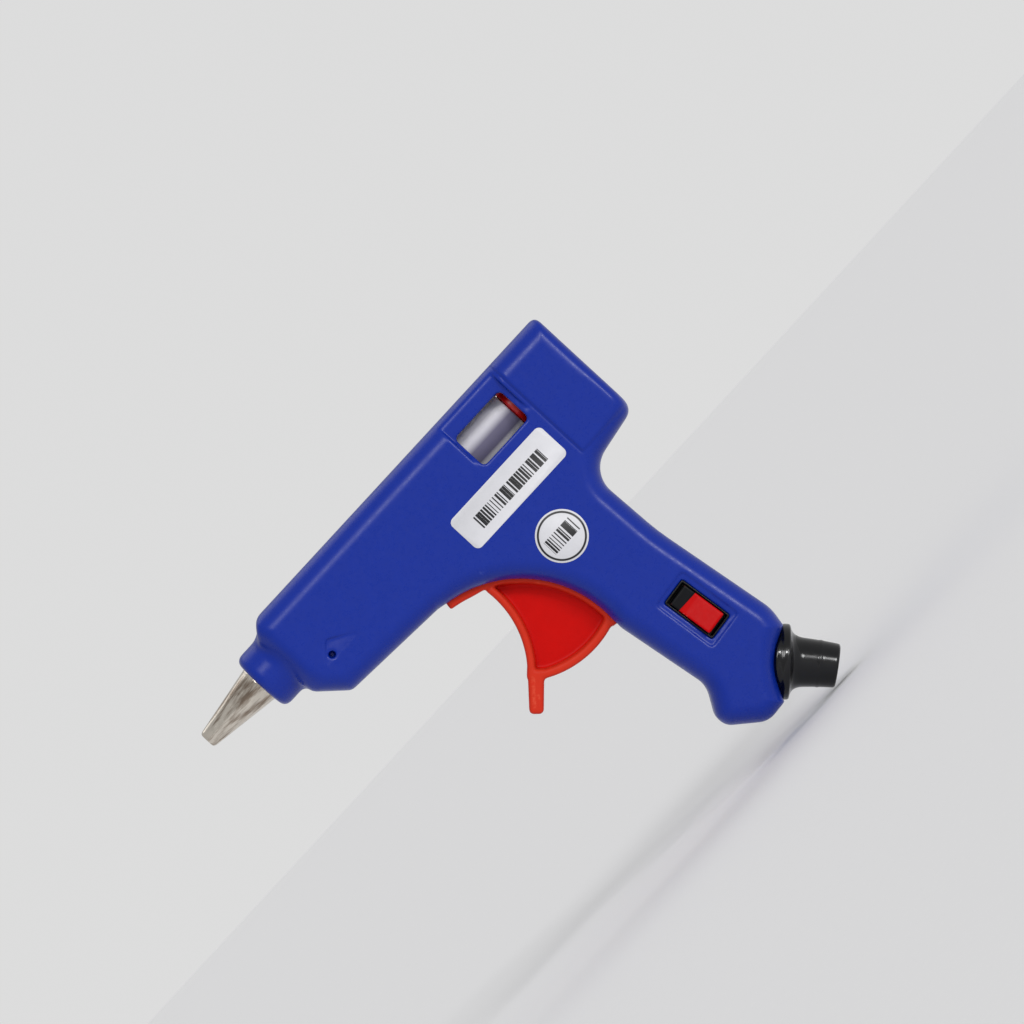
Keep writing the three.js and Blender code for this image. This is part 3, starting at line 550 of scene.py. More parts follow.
def tube_plating():
    """Dull plating with painted light: brighter on the upper side, painted shade below, a painted
    highlight at the lip.
    """
    finish = Finish("tube_plating", (250, 248, 252), 0.42, specular=0.35)
    z = finish.node("ShaderNodeSeparateXYZ", Vector=finish.place).outputs["Z"]
    height = finish.math("MULTIPLY_ADD", z, 1000.0, -1000 * float(ORIGIN[2]) - AXIS_Z)
    # Painted light and shade: the bright colour goes on the upper side and, as a painted highlight,
    # on the lower lip; the dark painted shade colour goes on the band between them.
    upper = finish.range(height, -0.2, 2.8)
    lip_highlight = finish.range(height, -3.2, -4.4)
    finish.colour = finish.mix(finish.math("MAXIMUM", upper, lip_highlight), finish.rgb((112, 108, 132)),
                               finish.colour)
    marks = finish.noise(1.0, 3, 0.6, where=finish.stretched((300, 5000, 5000)))
    return finish.done(bump=marks, strength=0.2, depth=0.00005, mottle=0.06, spread=0.08)


def paint(obj, material):
    obj.data.materials.clear()
    obj.data.materials.append(material)
    return obj


casing_blue = moulded_plastic("casing_plastic", (6, 42, 149), 0.3, (110, 124, 196), strength=0.05,
                              specular=0.3)
carriage_red = moulded_plastic("carriage_plastic", (200, 16, 12), 0.35, (230, 90, 80))
switch_black = moulded_plastic("switch_plastic", (6, 7, 11), 0.3, (60, 62, 70), specular=0.25)
boot_black = moulded_plastic("boot_rubber", (2, 3, 6), 0.2, (34, 36, 42), grain=900,
                             strength=0.03, specular=0.3, coat=0.35)
# the nozzle's dark brownish streaks are painted reflections
nozzle_metal = turned_metal("nozzle_steel", (226, 218, 206), 0.2, (9000, 300, 300),
                            stain_and_reflection=(96, 66, 38))
chamber_metal = turned_metal("chamber_alloy", (150, 152, 158), 0.42, (6000, 400, 400))
trigger_red = trigger_plastic()
tube_silver = tube_plating()
spring_steel = turned_metal("spring_wire", (150, 152, 158), 0.28, (4000, 4000, 4000))
screw_steel = turned_metal("screw_plating", (190, 192, 196), 0.3, (1500, 6000, 1500),
                           stain_and_reflection=(90, 84, 76))
brass = turned_metal("brass_strip", (202, 164, 84), 0.32, (5000, 500, 500), stain_and_reflection=(120, 80, 40))
nylon = moulded_plastic("nylon", (226, 220, 202), 0.45, (250, 248, 240), grain=1100)
heatproof = moulded_plastic("heatproof_ring", (212, 204, 184), 0.6, (240, 236, 224), grain=700,
                            strength=0.3)
silicone = moulded_plastic("silicone_sleeve", (176, 66, 42), 0.55, (210, 120, 96), grain=600)
ceramic = moulded_plastic("heater_ceramic", (66, 66, 70), 0.7, (120, 120, 124), grain=2400,
                          strength=0.4)
film = moulded_plastic("amber_film", (176, 108, 30), 0.3, (220, 170, 90), grain=500)
lead_brown = moulded_plastic("lead_brown", (88, 48, 30), 0.45, (130, 90, 70), grain=800)
lead_blue = moulded_plastic("lead_blue", (42, 92, 172), 0.45, (110, 150, 210), grain=800)

CARRIED_OVER = {
    "melt_chamber": chamber_metal, "nose_ring": heatproof, "rear_support_ring": heatproof,
    "insulation_film": film, "ptc_heater": ceramic, "lower_electrode": brass,
    "upper_electrode": brass, "inlet_sleeve": silicone, "sleeve_clamp_ring": spring_steel,
    "trigger_pivot_pin": spring_steel, "trigger_return_spring": spring_steel,
    "front_link_pin": spring_steel, "feed_link": nylon, "rear_link_pin": spring_steel,
    "switch_terminal_live": brass, "switch_terminal_heater": brass,
    "heater_lead_live": lead_brown, "heater_lead_neutral": lead_blue, "crimp_joint": nylon,
    "cord_clamp": nylon, "cord_clamp_screw_lower": screw_steel,
    "cord_clamp_screw_upper": screw_steel,
}
for node, material in CARRIED_OVER.items():
    paint(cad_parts[node], material)


def dress(obj, body, slot, material, *nodes):
    """Gives a piece its finish, hides the CAD nodes that it stands for, and puts it on its body."""
    paint(obj, material)
    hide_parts(*nodes)
    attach(obj, body)
    return obj


# ---------------- casing
def seat_circle():
    """Circle (x, z, radius) of the hollow that the boot's flange sits in."""
    (ax, az), (bx, bz) = BOOT_SEAT["ends"]
    sag = BOOT_SEAT["sag"]
    chord = math.hypot(bx - ax, bz - az)
    radius = (chord ** 2 / 4 + sag ** 2) / (2 * sag)
    outward = np.array([-(bz - az), bx - ax]) / chord
    centre = np.array([(ax + bx) / 2, (az + bz) / 2]) + outward * (radius - sag)
    return (*centre, radius)


def seat_arc():
    """The part of the seat's circle between its two ends."""
    cx, cz, _ = SEAT_CIRCLE
    start, end = (math.degrees(math.atan2(z - cz, x - cx)) for x, z in BOOT_SEAT["ends"])
    turn = (end - start + 180) % 360 - 180
    return arc(SEAT_CIRCLE, start, start + turn)


SEAT_CIRCLE = seat_circle()
BODY_OUTLINE = outline(
    (43.4, TOP_Z), (43.4, -4.4, 7), (29, -6.8, 6), (21.3, -8.3, 8), (22.1, -31, 60),
    (27.3, -66.5, 12), seat_arc(), (5.3, -86, 6), (-4.6, -77.2, 4.5), (1.2, -68, 8),
    (-2.9, -41, 6), arc(ARCH, -5, 80), (-31.5, -3.0, 1), (-62.2, -0.9, 3), (-72.4, 9.3),
    (-72.4, TOP_Z),
)
SOCKET = outline((-62.4, 8.0, 0.6), (-49.0, 8.0, 0.6), (-57.0, 13.1, 0.8))


def pillow(depth, y, z, half_width, shrink):
    """A flat-sided body with elliptical edges; depth is how far inside the outline a point is."""
    inset = EDGE_INSET_LOW + (EDGE_INSET_TOP - EDGE_INSET_LOW) * smooth_step(z, *EDGE_CHANGE)
    depth_y = EDGE_DEPTH - shrink
    u = np.maximum(0, (inset - depth) / (inset - shrink))
    v = np.maximum(0, (np.abs(y) - half_width + EDGE_DEPTH) / depth_y)
    return depth_y * (np.hypot(u, v) - 1)


def boot_along(x, z):
    """Distance out along the boot's axis from its seat, and distance to the side of the axis."""
    lean = math.radians(BOOT["lean"])
    dx, dz = x - BOOT["x"], z - BOOT["z"]
    return dx * math.sin(lean) - dz * math.cos(lean), dx * math.cos(lean) + dz * math.sin(lean)


def in_switch(x, z):
    """Coordinates across and along the rocker switch."""
    tilt = math.radians(SWITCH["tilt"])
    dx, dz = x - SWITCH["x"], z - SWITCH["z"]
    return dx * math.cos(tilt) + dz * math.sin(tilt), dz * math.cos(tilt) - dx * math.sin(tilt)


def about_stick(y, z, radius):
    """A round bar along the glue stick's axis."""
    return rod(y, z, 0, AXIS_Z, radius)


def nose_flats(x, across, z):
    """The flats that narrow the nose from the sides and cut its upper corner."""
    lean = math.radians(NOSE_SLANT["lean"])
    slant = (NOSE_SLANT["x"] - x) * math.cos(lean) + (across - HALF_WIDTH) * math.sin(lean)
    forward, upward = NOSE_CHAMFER["normal"]
    return slant, (x - NOSE_CHAMFER["x"]) * forward + (z - TOP_Z) * upward


def side_half_width(side, x, z):
    """Half the width at the flat side, with the raised panel and its groove on the left."""
    if side > 0:
        return HALF_WIDTH
    edge = np.minimum(x - REAR_PANEL["front"], z - REAR_PANEL["bottom"])
    step = REAR_PANEL["height"] * smooth_step(edge, -0.1, 0.5)
    groove = REAR_PANEL["groove_depth"] * np.exp(-(edge / REAR_PANEL["groove_width"]) ** 2)
    groove = groove * smooth_step(z, REAR_PANEL["bottom"] - 0.6, REAR_PANEL["bottom"])
    return HALF_WIDTH + step - groove * smooth_step(x, *REAR_PANEL["groove_start"])


def casing_outside(side, depth, x, y, z):
    """The casing's outer form, before it is hollowed out."""
    slant, chamfer = nose_flats(x, np.abs(y), z)
    body = pillow(depth, y, z, side_half_width(side, x, z), 0)
    body = both(body, x - REAR_X, rounding=2.2)
    body = both(body, slant, rounding=1.6)
    body = both(body, both(FACE_X - x, chamfer, rounding=1.0), rounding=1.4)
    collar = rod(y, z, 0, COLLAR["z"], COLLAR["radius"])
    collar = both(both(collar, COLLAR["front"] - x, rounding=2.6), x - COLLAR["back"])
    return either(body, collar, fillet=2.2)


def inner_walls(side, x, y, z):
    """The ribs, the walls beside the window and the screw posts."""
    across = np.abs(y)
    ribs = either(*(slab(x, *ends) for ends in TUBE_RIBS["x"]))
    ribs = both(without(ribs, about_stick(y, z, TUBE_RIBS["bore"])), TUBE_RIBS["bottom"] - z)
    seat = without(slab(x, *CHAMBER_RIB["x"]), about_stick(y, z, CHAMBER_RIB["bore"]))
    seat = both(seat, CHAMBER_RIB["bottom"] - z)
    groove = both(about_stick(y, z, CHAMBER_RIB["groove_radius"]), slab(x, *CHAMBER_RIB["groove"]))
    ribs = either(ribs, without(seat, groove))
    channel = both(across - LINK_CHANNEL["half_width"], slab(z, *LINK_CHANNEL["z"]))
    ribs = without(ribs, both(channel, slab(x, *LINK_CHANNEL["x"])))
    guide = both(without(slab(x, *STICK_GUIDE["x"]), about_stick(y, z, STICK_GUIDE["bore"])),
                 STICK_GUIDE["bottom"] - z)
    beside_window = both(both(slab(x, *WINDOW_WALL["x"]), slab(z, *WINDOW_WALL["z"])),
                         WINDOW_WALL["inner"] - across)
    walls = either(either(ribs, guide), beside_window)
    for sx, sz in SCREWS:
        walls = either(walls, rod(x, z, sx, sz, SCREW_POST[side]), fillet=0.6)
    return walls


def casing_room(side, depth, x, y, z):
    """The space inside the casing, round its inner walls."""
    slant, chamfer = nose_flats(x, np.abs(y), z)
    room = pillow(depth, y, z, HALF_WIDTH - WALL, WALL)
    for flat in (x - REAR_X, FACE_X - x, slant, chamfer):
        room = both(room, flat + WALL)
    nose = both(about_stick(y, z, COLLAR["radius"] - COLLAR["wall"]),
                slab(x, COLLAR["front"] + COLLAR["front_wall"], COLLAR["back"]))
    return without(either(room, nose), inner_walls(side, x, y, z), rounding=0.3)


def with_openings(shell, x, y, z):
    """Cuts what both shells have: the window, both ends of the barrel, slot, bores and socket."""
    across = np.abs(y)
    fade = smooth_step(-z, -SCOOP["top"], -SCOOP["bottom"])
    scoop_floor = SCOOP["floor"] + SCOOP["slope"] * fade + SCOOP["curl"] * fade ** 3
    scoop = both(slab(x, SCOOP["front"], SCOOP["back"], 1.2), scoop_floor - across)
    shell = without(shell, scoop, rounding=0.8)
    centre_x = (WINDOW["front"] + WINDOW["back"]) / 2
    centre_z = (WINDOW["bottom"] + WINDOW["top"]) / 2
    window = rounded_box(x, z, centre_x, centre_z, WINDOW["back"] - centre_x,
                         WINDOW["top"] - centre_z, WINDOW["corner"])
    shell = without(shell, both(window, WINDOW["inner"] - across), rounding=0.5)
    mouth = about_stick(y, z, COLLAR["mouth"])
    mouth = mouth + np.maximum(x - COLLAR["front"] - COLLAR["mouth_depth"], 0)
    shell = without(shell, mouth, rounding=0.5)
    inlet = both(about_stick(y, z, STICK_GUIDE["bore"]), INLET_FRONT - x)
    shell = without(shell, inlet, rounding=0.8)
    slot = arc_band(ARCH, SLOT["inner"], SLOT["outer"], *SLOT["angles"], x, z)
    slot = both(slot, across - SLOT["half_width"], rounding=0.6)
    shell = without(shell, slot, rounding=0.5)
    out, aside = boot_along(x, z)
    boot_bore = both(np.hypot(aside, y) - BOOT["casing_bore"], slab(out, -12, 6))
    shell = without(shell, boot_bore, rounding=0.4)
    shell = without(shell, both(rod(x, z, *PIVOT, PIVOT_BORE), across - PIVOT_REACH))
    share = np.clip((z - STAND["bottom"]) / STAND["height"], 0, 1)
    socket = both(outline_distance(SOCKET, x, z), HALF_WIDTH - STAND["depth"] * share - across,
                  rounding=0.3)
    shell = without(shell, socket, rounding=0.3)
    hole = both(rod(x, z, *STAND["hole"]), STAND["hole_floor"] - across)
    return without(shell, hole, rounding=0.3)


def with_switch_opening(shell, x, y, z):
    """The left shell's switch opening, and the pilot holes of its screw posts."""
    u, v = in_switch(x, z)
    opening = both(rounded_box(u, v, 0, 0, *OPENING), y + 2)
    recess = both(rounded_box(u, v, 0, 0, *RECESS), y + HALF_WIDTH - SWITCH["recess_depth"])
    shell = without(without(shell, opening, rounding=0.3), recess, rounding=0.8)
    for sx, sz in SCREWS:
        shell = without(shell, both(rod(x, z, sx, sz, PILOT_HOLE), -PILOT_FLOOR - y))
    return shell


def clamp_point(sign):
    """Where one of the two posts of the cord clamp stands."""
    lean = math.radians(CLAMP["lean"])
    reach = sign * CLAMP["half_pitch"]
    return CLAMP["x"] + reach * math.sin(lean), CLAMP["z"] + reach * math.cos(lean)


def with_screw_wells(shell, x, y, z):
    """The right shell's screw holes and wells, and the two posts of the cord clamp."""
    for sx, sz in SCREWS:
        shell = without(shell, both(rod(x, z, sx, sz, WELL["hole"]), y - WELL["hole_end"]))
        well = both(rod(x, z, sx, sz, WELL["radius"]), WELL["floor"] - y)
        shell = without(shell, well, rounding=0.6)
    for sign in (-1, 1):
        centre = clamp_point(sign)
        post = both(rod(x, z, *centre, CLAMP["post"]), slab(y, CLAMP["post_end"], 12))
        post = without(post, both(rod(x, z, *centre, CLAMP["hole"]), y - CLAMP["hole_floor"]))
        shell = either(shell, post)
    return shell


def casing_shell(side):
    """The distance field of one shell; side is -1 on the left and +1 on the right."""
    def field(x, y, z):
        depth = -outline_distance(BODY_OUTLINE, x, z)
        outside = casing_outside(side, depth, x, y, z)
        shell = without(outside, casing_room(side, depth, x, y, z), rounding=0.3)
        shell = with_openings(shell, x, y, z)
        shell = (with_switch_opening if side < 0 else with_screw_wells)(shell, x, y, z)
        return both(shell, PARTING_GAP - side * y, rounding=0.8)
    return field


for side, label in ((-1, "left"), (1, "right")):
    y_range = (-13.6, 0) if side < 0 else (0, 13.6)
    shell = moulded(f"casing_{label}_shell", casing_shell(side), (-78, y_range[0], -87.5),
                    (42, y_range[1], 31), 0.5)
    dress(shell, "casing", "casing_blue", casing_blue, f"{label}_shell")


# ---------------- trigger
WEB = outline(arc((*BLADE[:2], BLADE[2] + 1), 6, -48),
              arc((*FLOOR_ARC[:2], FLOOR_ARC[2] - 1), 238, 288),
              arc((*ARCH[:2], ARCH[2] + 1), -7, 66))
FINGER = outline((-27.2, -30.9), (-28.4, -31.8), (-35.6, -39.0, 1.2), (-33, -41.7, 1.2),
                 (-26.2, -35.6), (-24.8, -33.6))
NECK = outline((-28.8, -4.4), (-15.5, -8.4), (-19.6, -0.5), (-21.4, PIVOT[1]), (-27.2, PIVOT[1]))


def trigger_rims(x, z):
    """The blade with its finger rest, the floor rim and the arch rim, in the side view."""
    blade = arc_band(BLADE, BLADE[2], BLADE[2] + RIM["blade"], -49.5, 6, x, z)
    floor_rim = arc_band(FLOOR_ARC, FLOOR_ARC[2] - RIM["floor"], FLOOR_ARC[2], 234.5, 289.6, x, z)
    taper = RIM["arch_taper"] * smooth_step(x, -24, -17)
    arch_rim = arc_band(ARCH, ARCH[2] - RIM["arch"] + taper, ARCH[2] + 2, -8, 80, x, z)
    finger = outline_distance(FINGER, x, z)
    rims = either(blade, finger, fillet=0.8)
    for rim in (floor_rim, arch_rim):
        rims = either(rims, rim, fillet=0.8)
    return rims


def trigger_field(x, y, z):
    across = np.abs(y)
    rims = both(trigger_rims(x, z), across - RIM["half_width"], rounding=1.2)
    web = both(outline_distance(WEB, x, z), across - WEB_HALF_THICKNESS, rounding=0.2)
    neck = both(outline_distance(NECK, x, z), across - NECK_HALF_WIDTH, rounding=0.6)
    hub = both(rod(x, z, *PIVOT, HUB_RADIUS), across - ARM["outer"], rounding=0.5)
    eye = rod(x, z, PIVOT[0], LINK_Z, ARM["half_width"])
    arm = either(bar(x, z, *PIVOT, PIVOT[0], LINK_Z, ARM["half_width"]), eye)
    arms = both(arm, slab(across, ARM["inner"], ARM["outer"]), rounding=0.3)
    hinge = either(neck, either(hub, arms, fillet=0.3), fillet=0.4)
    solid = either(either(rims, web, fillet=1.0), hinge, fillet=0.4)
    solid = without(solid, rod(x, z, *PIVOT, PIVOT_BORE))
    return without(solid, rod(x, z, PIVOT[0], LINK_Z, LINK_PIN_BORE))


trigger = moulded("trigger_moulding", trigger_field, (-36.5, -8.7, -42.3), (-1.5, 8.7, 28.2),
                  0.4)
dress(trigger, "trigger", "trigger_red", trigger_red, "trigger")


# ---------------- nozzle, tube and carriage
nozzle = lathe("nozzle_cone", outline(
    (-97.7, 1.0, 0.25), (-97.7, 2.2, 0.5), (-96.9, 2.55, 0.6), (-78.3, 5.45, 0.3),
    (-77.9, 5.55, 0.2), (-75.6, 5.55, 0.3), (-75.6, 3.6, 0.2), (-69.5, 3.6, 0.3),
    (-69.5, 2.9, 0.2), (-78.6, 2.9, 1.0), (-93.7, 1.0, 1.0)))
dress(nozzle, "casing", "nozzle_metal", nozzle_metal, "nozzle")

tube = lathe("feed_sleeve", outline(
    (TUBE_FRONT, 5.4, 0.2), (TUBE_FRONT, 6.2, 0.35), (19.2, 6.2, 0.35), (19.2, 5.4, 0.2)))
dress(tube, "carriage", "tube_silver", tube_silver, "feed_tube")


def carriage_field(x, y, z):
    """A ring with a collar inside the tube, and two ears above it for the link's pin."""
    radius = np.hypot(y, z - AXIS_Z)
    across = np.abs(y)
    ring = both(slab(x, 19.5, 23.4, 0.3), radius - CARRIAGE["ring"], rounding=0.5)
    collar = both(slab(x, 17.3, 20), radius - CARRIAGE["collar"], rounding=0.3)
    ears = both(rounded_box(x, z, 21.45, 24.6, 1.85, 2.7, 1.1),
                slab(across, CARRIAGE["ear_inner"], CARRIAGE["ear_outer"]), rounding=0.3)
    solid = either(either(ring, collar, fillet=0.2), ears, fillet=0.3)
    solid = without(solid, radius - CARRIAGE["bore"])
    between_ears = across - CARRIAGE["ear_inner"]
    solid = without(solid, both(both(slab(x, 19.7, 23.3), 20.5 - z), between_ears))
    solid = without(solid, both(both(slab(x, 19, 20.5), 24.2 - z), between_ears))
    return without(solid, rod(x, z, CARRIAGE["pin_x"], LINK_Z, LINK_PIN_BORE))


carriage = moulded("feed_carriage_ring", carriage_field, (17.2, -7, 11), (23.5, 7, 27.4), 0.3)
dress(carriage, "carriage", "carriage_red", carriage_red, "feed_carriage")


# ---------------- rocker switch
def from_switch(points):
    """Points given across, through and along the switch, put into the gun."""
    tilt = math.radians(SWITCH["tilt"])
    u, y, v = points.T
    return np.stack([SWITCH["x"] + u * math.cos(tilt) - v * math.sin(tilt), y,
                     SWITCH["z"] + u * math.sin(tilt) + v * math.cos(tilt)], axis=1)


def switch_frame_field(u, y, v):
    """A flanged box, open towards the rocker."""
    flange = both(rounded_box(u, v, 0, 0, *FLANGE), slab(y, -12.9, -12.25), rounding=0.4)
    body = both(rounded_box(u, v, 0, 0, *SWITCH_BODY), slab(y, -12.4, -2.6), rounding=0.3)
    well = both(rounded_box(u, v, 0, 0, *SWITCH_WELL), y - SWITCH["well_floor"])
    return without(either(flange, body), well, rounding=0.3)


ROCKER_SIDE = outline((-6.5, -11.0), (-6.3, -12.9, 0.5), (-1.8, -13.1, 2.5), (6.2, -15.2, 0.5),
                      (6.4, -12.3, 0.6), (1.5, -9.6, 0.8), (-1.5, -9.6, 0.8))


def rocker_field(u, y, v):
    side_view = outline_distance(ROCKER_SIDE, -v, y)
    seam = SWITCH["rocker_seam"]
    lifted_end = 0.12 * smooth_step(v, seam - 0.05, seam + 0.15)
    return both(side_view - lifted_end, np.abs(u) - SWITCH["rocker_half_width"], rounding=0.5)


def rocker_plastic():
    """Red plastic with painted shade: black on its sunken upper end."""
    finish = Finish("rocker_plastic", (192, 0, 2), 0.42, specular=0.12)
    z = finish.node("ShaderNodeSeparateXYZ", Vector=finish.place).outputs["Z"]
    seam_z = float(ORIGIN[2]) + (SWITCH["z"] + SWITCH["rocker_seam"]) * MM
    # painted shade: black above the seam, on the sunken upper end, stands in for its shade
    sunken_end_shade = finish.range(z, seam_z - SOFT_LINE, seam_z + SOFT_LINE)
    finish.colour = finish.mix(sunken_end_shade, finish.colour, finish.rgb((14, 15, 19)))
    finish.worn_edges((235, 130, 120))
    return finish.done(strength=0.06)


switch = moulded("switch_bezel", switch_frame_field, (-4.7, -13.6, -7.8), (4.7, -2.5, 7.8), 0.25,
                 from_switch)
dress(switch, "casing", "switch_black", switch_black, "switch_frame")
rocker = moulded("rocker_button", rocker_field, (-3.4, -15.4, -6.7), (3.4, -9.4, 6.8), 0.2,
                 from_switch)
dress(rocker, "rocker", "rocker_red", rocker_plastic(), "switch_rocker")


# ---------------- strain-relief boot
def along_bent_boot(x, z):
    """Distance out and to the side, along an axis that bends a little beyond the flange."""
    out, aside = boot_along(x, z)
    bend_radius = BOOT["length"] / math.radians(BOOT["lean"] - BOOT["end_lean"])
    to_centre = bend_radius + aside
    bent_out = bend_radius * np.arctan2(out, to_centre)
    bent_aside = np.hypot(out, to_centre) - bend_radius
    return np.where(out > 0, bent_out, out), np.where(out > 0, bent_aside, aside)


def boot_field(x, y, z):
    """A flange on a plug that fits the seat, a tapering tube, and a barbed neck in the casing."""
    out, aside = along_bent_boot(x, z)
    radius = np.hypot(aside, y)
    rim = both(radius - BOOT["flange"], slab(out, -0.4, 1.7), rounding=0.7)
    plug = both(both(radius - BOOT["plug"], rod(x, z, *SEAT_CIRCLE) + 0.06, rounding=0.5), out - 1.0)
    taper = BOOT["taper"] * np.clip((BOOT["length"] - out) / 11, 0, 1)
    ridge = BOOT["ridge"] * np.exp(-((out - BOOT["ridge_at"]) / 0.4) ** 2)
    tube_side = (radius - BOOT["end_radius"] - taper - ridge) * 0.95
    tube = both(tube_side, slab(out, 0, BOOT["length"]), rounding=0.8)
    neck = both(radius - BOOT["neck"], slab(out, -5, 1))
    barb = both(radius - BOOT["barb"], slab(out, -6.2, -4.7))
    solid = either(either(rim, plug, fillet=0.3), tube, fillet=3.6)
    solid = either(solid, either(neck, barb, fillet=0.2))
    return without(solid, radius - BOOT["bore"], rounding=0.4)


boot = moulded("cord_boot", boot_field, (7.5, -10, -95), (37, 10, -66), 0.3)
dress(boot, "casing", "boot_rubber", boot_black, "strain_relief_boot")


# ---------------- screws
def screw_field(x, y, z):
    """A cross-head screw about its own axis, with its head towards +Y."""
    radius = np.hypot(x, z)
    dome = 0.35 * np.maximum(y - 7.0, 0) ** 2
    head = both(radius - SCREW["head"] + dome, slab(y, 6.05, 7.8), rounding=0.35)
    turns = 2 * math.pi * y / SCREW["pitch"] - np.arctan2(z, x)
    shank = radius - SCREW["shank"] - SCREW["thread"] * np.cos(turns)
    shank = both(shank, slab(y, -6.5, 6.6), rounding=0.5)
    one_bar = both(np.abs(x) - SCREW["slot"], np.abs(z) - 1.5)
    other_bar = both(np.abs(z) - SCREW["slot"], np.abs(x) - 1.5)
    cross = both(either(one_bar, other_bar), 6.9 + radius * 0.25 - y)
    return without(either(head, shank, fillet=0.2), cross, rounding=0.2)


for number, (sx, sz) in enumerate(SCREWS, 1):
    screw = moulded(f"casing_screw_{number}_detailed", screw_field, (-2.4, -6.6, -2.4),
                    (2.4, 7.9, 2.4), 0.2,
                    lambda points, sx=sx, sz=sz: points + [sx, 0, sz])
    dress(screw, "casing", "screw_steel", screw_steel, f"casing_screw_{number}")


# ---------------- labels
def label_piece(name, shape):
    """A thin sticker with a rounded rim: rings inset from its outline and raised from the casing."""
    rings = [(0.0, 0.0), (0.0, 0.09), (0.07, LABEL_THICKNESS)]
    centre = shape.mean(axis=0)
    reach = np.linalg.norm(shape - centre, axis=1, keepdims=True)
    points = []
    for inset, height in rings:
        ring = centre + (shape - centre) * (1 - inset / reach)
        y = np.full(len(ring), -HALF_WIDTH - LABEL_GAP - height)
        points.append(np.stack([ring[:, 0], y, ring[:, 1]], axis=1))
    count = len(shape)
    a = np.arange(count)
    b = (a + 1) % count
    faces = [list(map(int, row)) for i in range(len(rings) - 1)
             for row in np.stack([i * count + a, i * count + b, (i + 1) * count + b,
                                  (i + 1) * count + a], axis=1)]
    faces += [list(map(int, a[::-1])), list(map(int, a + (len(rings) - 1) * count))]
    obj = new_object(name, to_frame(np.concatenate(points)), faces)
    face_outward(obj)
    obj.data.set_sharp_from_angle(angle=math.radians(50))
    return obj


class Print(Finish):
    """A printed sticker; x and z are millimetres in the gun's side view."""

    def __init__(self, name):
        super().__init__(name, (218, 218, 223), 0.42)
        parts = self.node("ShaderNodeSeparateXYZ", Vector=self.place)
        self.x = self.math("MULTIPLY_ADD", parts.outputs["X"], 1000.0, -1000 * float(ORIGIN[0]))
        self.z = self.math("MULTIPLY_ADD", parts.outputs["Z"], 1000.0, -1000 * float(ORIGIN[2]))

    def within(self, value, low, high):
        """One between two values and nothing outside them, with slightly soft ends."""
        soft = 0.06
        rise = self.range(value, low - soft, low + soft)
        fall = self.range(value, high - soft, high + soft, 1, 0)
        return self.math("MULTIPLY", rise, fall)

    def bars(self, value, pitch, share):
        """Printed strokes of uneven width, a generic pattern with no lettering."""
        scaled = self.math("DIVIDE", value, pitch)
        cell = self.math("FLOOR", scaled)
        noise = self.nodes.new("ShaderNodeTexWhiteNoise")
        noise.noise_dimensions = "1D"
        self.links.new(cell, noise.inputs["W"])
        width = self.range(noise.outputs["Value"], 0, 1, share * 0.35, share * 1.5)
        return self.math("LESS_THAN", self.math("FRACT", scaled), width)

    def ink(self, mask):
        self.colour = self.mix(mask, self.colour, self.rgb((22, 22, 26)))

    def stamp(self, field, x, z):
        """Prints bars in the rectangle that the field gives."""
        block = self.math("MULTIPLY", self.within(x, *field["x"]), self.within(z, *field["z"]))
        self.ink(self.math("MULTIPLY", block, self.bars(x, field["pitch"], field["share"])))


oblong_print = Print("oblong_label_paper")
oblong_print.stamp(PRINTED_BLOCK, oblong_print.x, oblong_print.z)
oblong_paper = oblong_print.done(strength=0.05, spread=0.05)
oblong = label_piece("oblong_sticker", outline((-13.3, -0.4, 1.6), (21.2, -0.4, 1.6),
                                               (21.2, 10.2, 1.6), (-13.3, 10.2, 1.6)))
dress(oblong, "casing", "label_stock", oblong_paper, "oblong_label")

round_print = Print("round_label_paper")
dx = round_print.math("SUBTRACT", round_print.x, ROUND_LABEL[0])
dz = round_print.math("SUBTRACT", round_print.z, ROUND_LABEL[1])
distance = round_print.math("SQRT", round_print.math(
    "ADD", round_print.math("MULTIPLY", dx, dx), round_print.math("MULTIPLY", dz, dz)))
round_print.ink(round_print.within(distance, *PRINTED_RING))
round_print.stamp(PRINTED_MARK, dx, dz)
round_paper = round_print.done(strength=0.05, spread=0.05)
round_sticker = label_piece("round_sticker", outline(arc(ROUND_LABEL, 0, 356)))
dress(round_sticker, "casing", "label_stock", round_paper, "round_label")


# ---------------- floor, light and camera
def soft_sun(name, direction, strength, softness):
    """An even soft light from one side; direction points from the gun to the light."""
    data = bpy.data.lights.new(name, "SUN")
    data.energy, data.angle = strength, math.radians(softness)
    lamp = bpy.data.objects.new(name, data)
    bpy.context.scene.collection.objects.link(lamp)
    away = np.array(direction, float)
    away /= np.linalg.norm(away)
    side = np.cross([0, 0, 1], away)
    side /= np.linalg.norm(side)
    matrix = np.eye(4)
    matrix[:3, 0], matrix[:3, 1], matrix[:3, 2] = side, np.cross(away, side), away
    matrix[:3, 3] = ORIGIN + away
    lamp.matrix_world = Matrix(matrix.tolist())


def make_floor():
    """A pale floor with a faint grain, just under the lowest point."""
    side, count, gap = 6.0, 24, 0.3 * MM
    ticks = np.linspace(-side, side, count + 1)
    points = [(x, y, 0.0) for x in ticks for y in ticks]
    faces = [(i * (count + 1) + j, (i + 1) * (count + 1) + j, (i + 1) * (count + 1) + j + 1,
              i * (count + 1) + j + 1) for i in range(count) for j in range(count)]
    floor = new_object("floor", np.array(points) + [0, 0, cad_box[0].z - gap], faces)
    finish = Finish("floor_paper", (246, 246, 247), 0.9, specular=0.1)
    paint(floor, finish.done(strength=0.02, mottle=0.01))


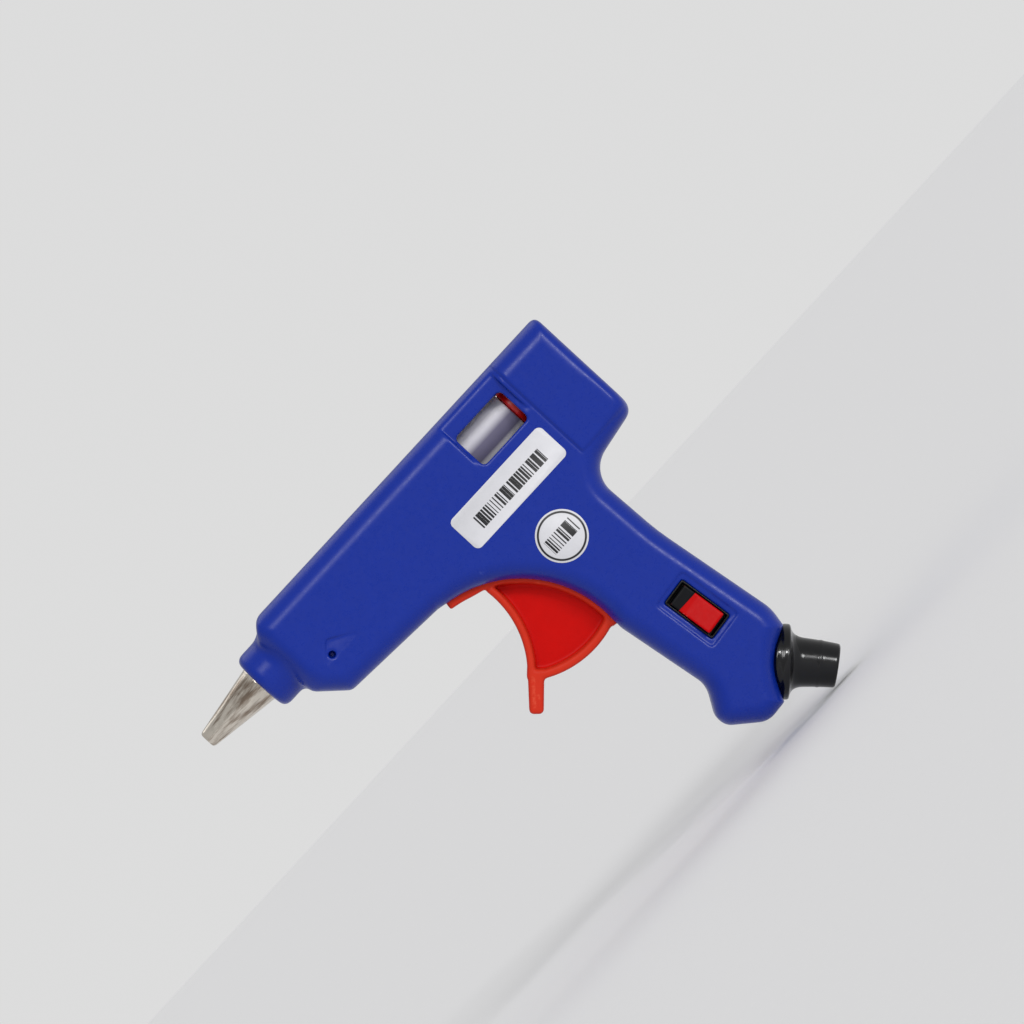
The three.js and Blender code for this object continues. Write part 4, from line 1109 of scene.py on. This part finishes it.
make_floor()
world = bpy.data.worlds.new("studio")
world.use_nodes = True
backdrop = world.node_tree.nodes["Background"]
backdrop.inputs["Color"].default_value = (1, 1, 1, 1)
sight = world.node_tree.nodes.new("ShaderNodeLightPath")
brightness = world.node_tree.nodes.new("ShaderNodeMapRange")
brightness.inputs["To Min"].default_value = 0.5  # the light it gives
brightness.inputs["To Max"].default_value = 0.72  # how bright it looks behind the gun
world.node_tree.links.new(sight.outputs["Is Camera Ray"], brightness.inputs["Value"])
world.node_tree.links.new(brightness.outputs[0], backdrop.inputs["Strength"])
bpy.context.scene.world = world
bpy.context.scene.view_settings.view_transform = "Standard"

VIEW_WIDTH = 266.24 * MM  # at the gun
CAMERA_DISTANCE = 1.7
LOOK_PLANE_Y = -6 * MM
RIGHT = np.array([0.678, 0, -0.735])  # the camera's right and up: the gun lies aslant in the view
UP = np.array([0.735, 0, 0.678])
TOWARDS_CAMERA = np.array([0.0, -1.0, 0.0])
target = ORIGIN + [0, LOOK_PLANE_Y, 0]

soft_sun("key", -0.35 * RIGHT + 0.5 * UP + 1.0 * TOWARDS_CAMERA, strength=0.7, softness=18)
soft_sun("side", 0.45 * RIGHT + 0.6 * UP + 1.0 * TOWARDS_CAMERA, strength=0.75, softness=14)
soft_sun("strip", 0.05 * RIGHT + 0.6 * UP + 1.0 * TOWARDS_CAMERA, strength=0.34, softness=5)
soft_sun("top", 0.7 * UP - 0.7 * RIGHT - 0.5 * TOWARDS_CAMERA, strength=0.3, softness=40)

camera_data = bpy.data.cameras.new("camera")
camera_data.sensor_width = 36
camera_data.lens = 36 * CAMERA_DISTANCE / VIEW_WIDTH
camera_data.clip_end = 50
camera = bpy.data.objects.new("camera", camera_data)
bpy.context.scene.collection.objects.link(camera)
pose = np.eye(4)
pose[:3, 0], pose[:3, 1], pose[:3, 2] = RIGHT, UP, TOWARDS_CAMERA
pose[:3, 3] = target + TOWARDS_CAMERA * CAMERA_DISTANCE
camera.matrix_world = Matrix(pose.tolist())
bpy.context.scene.camera = camera
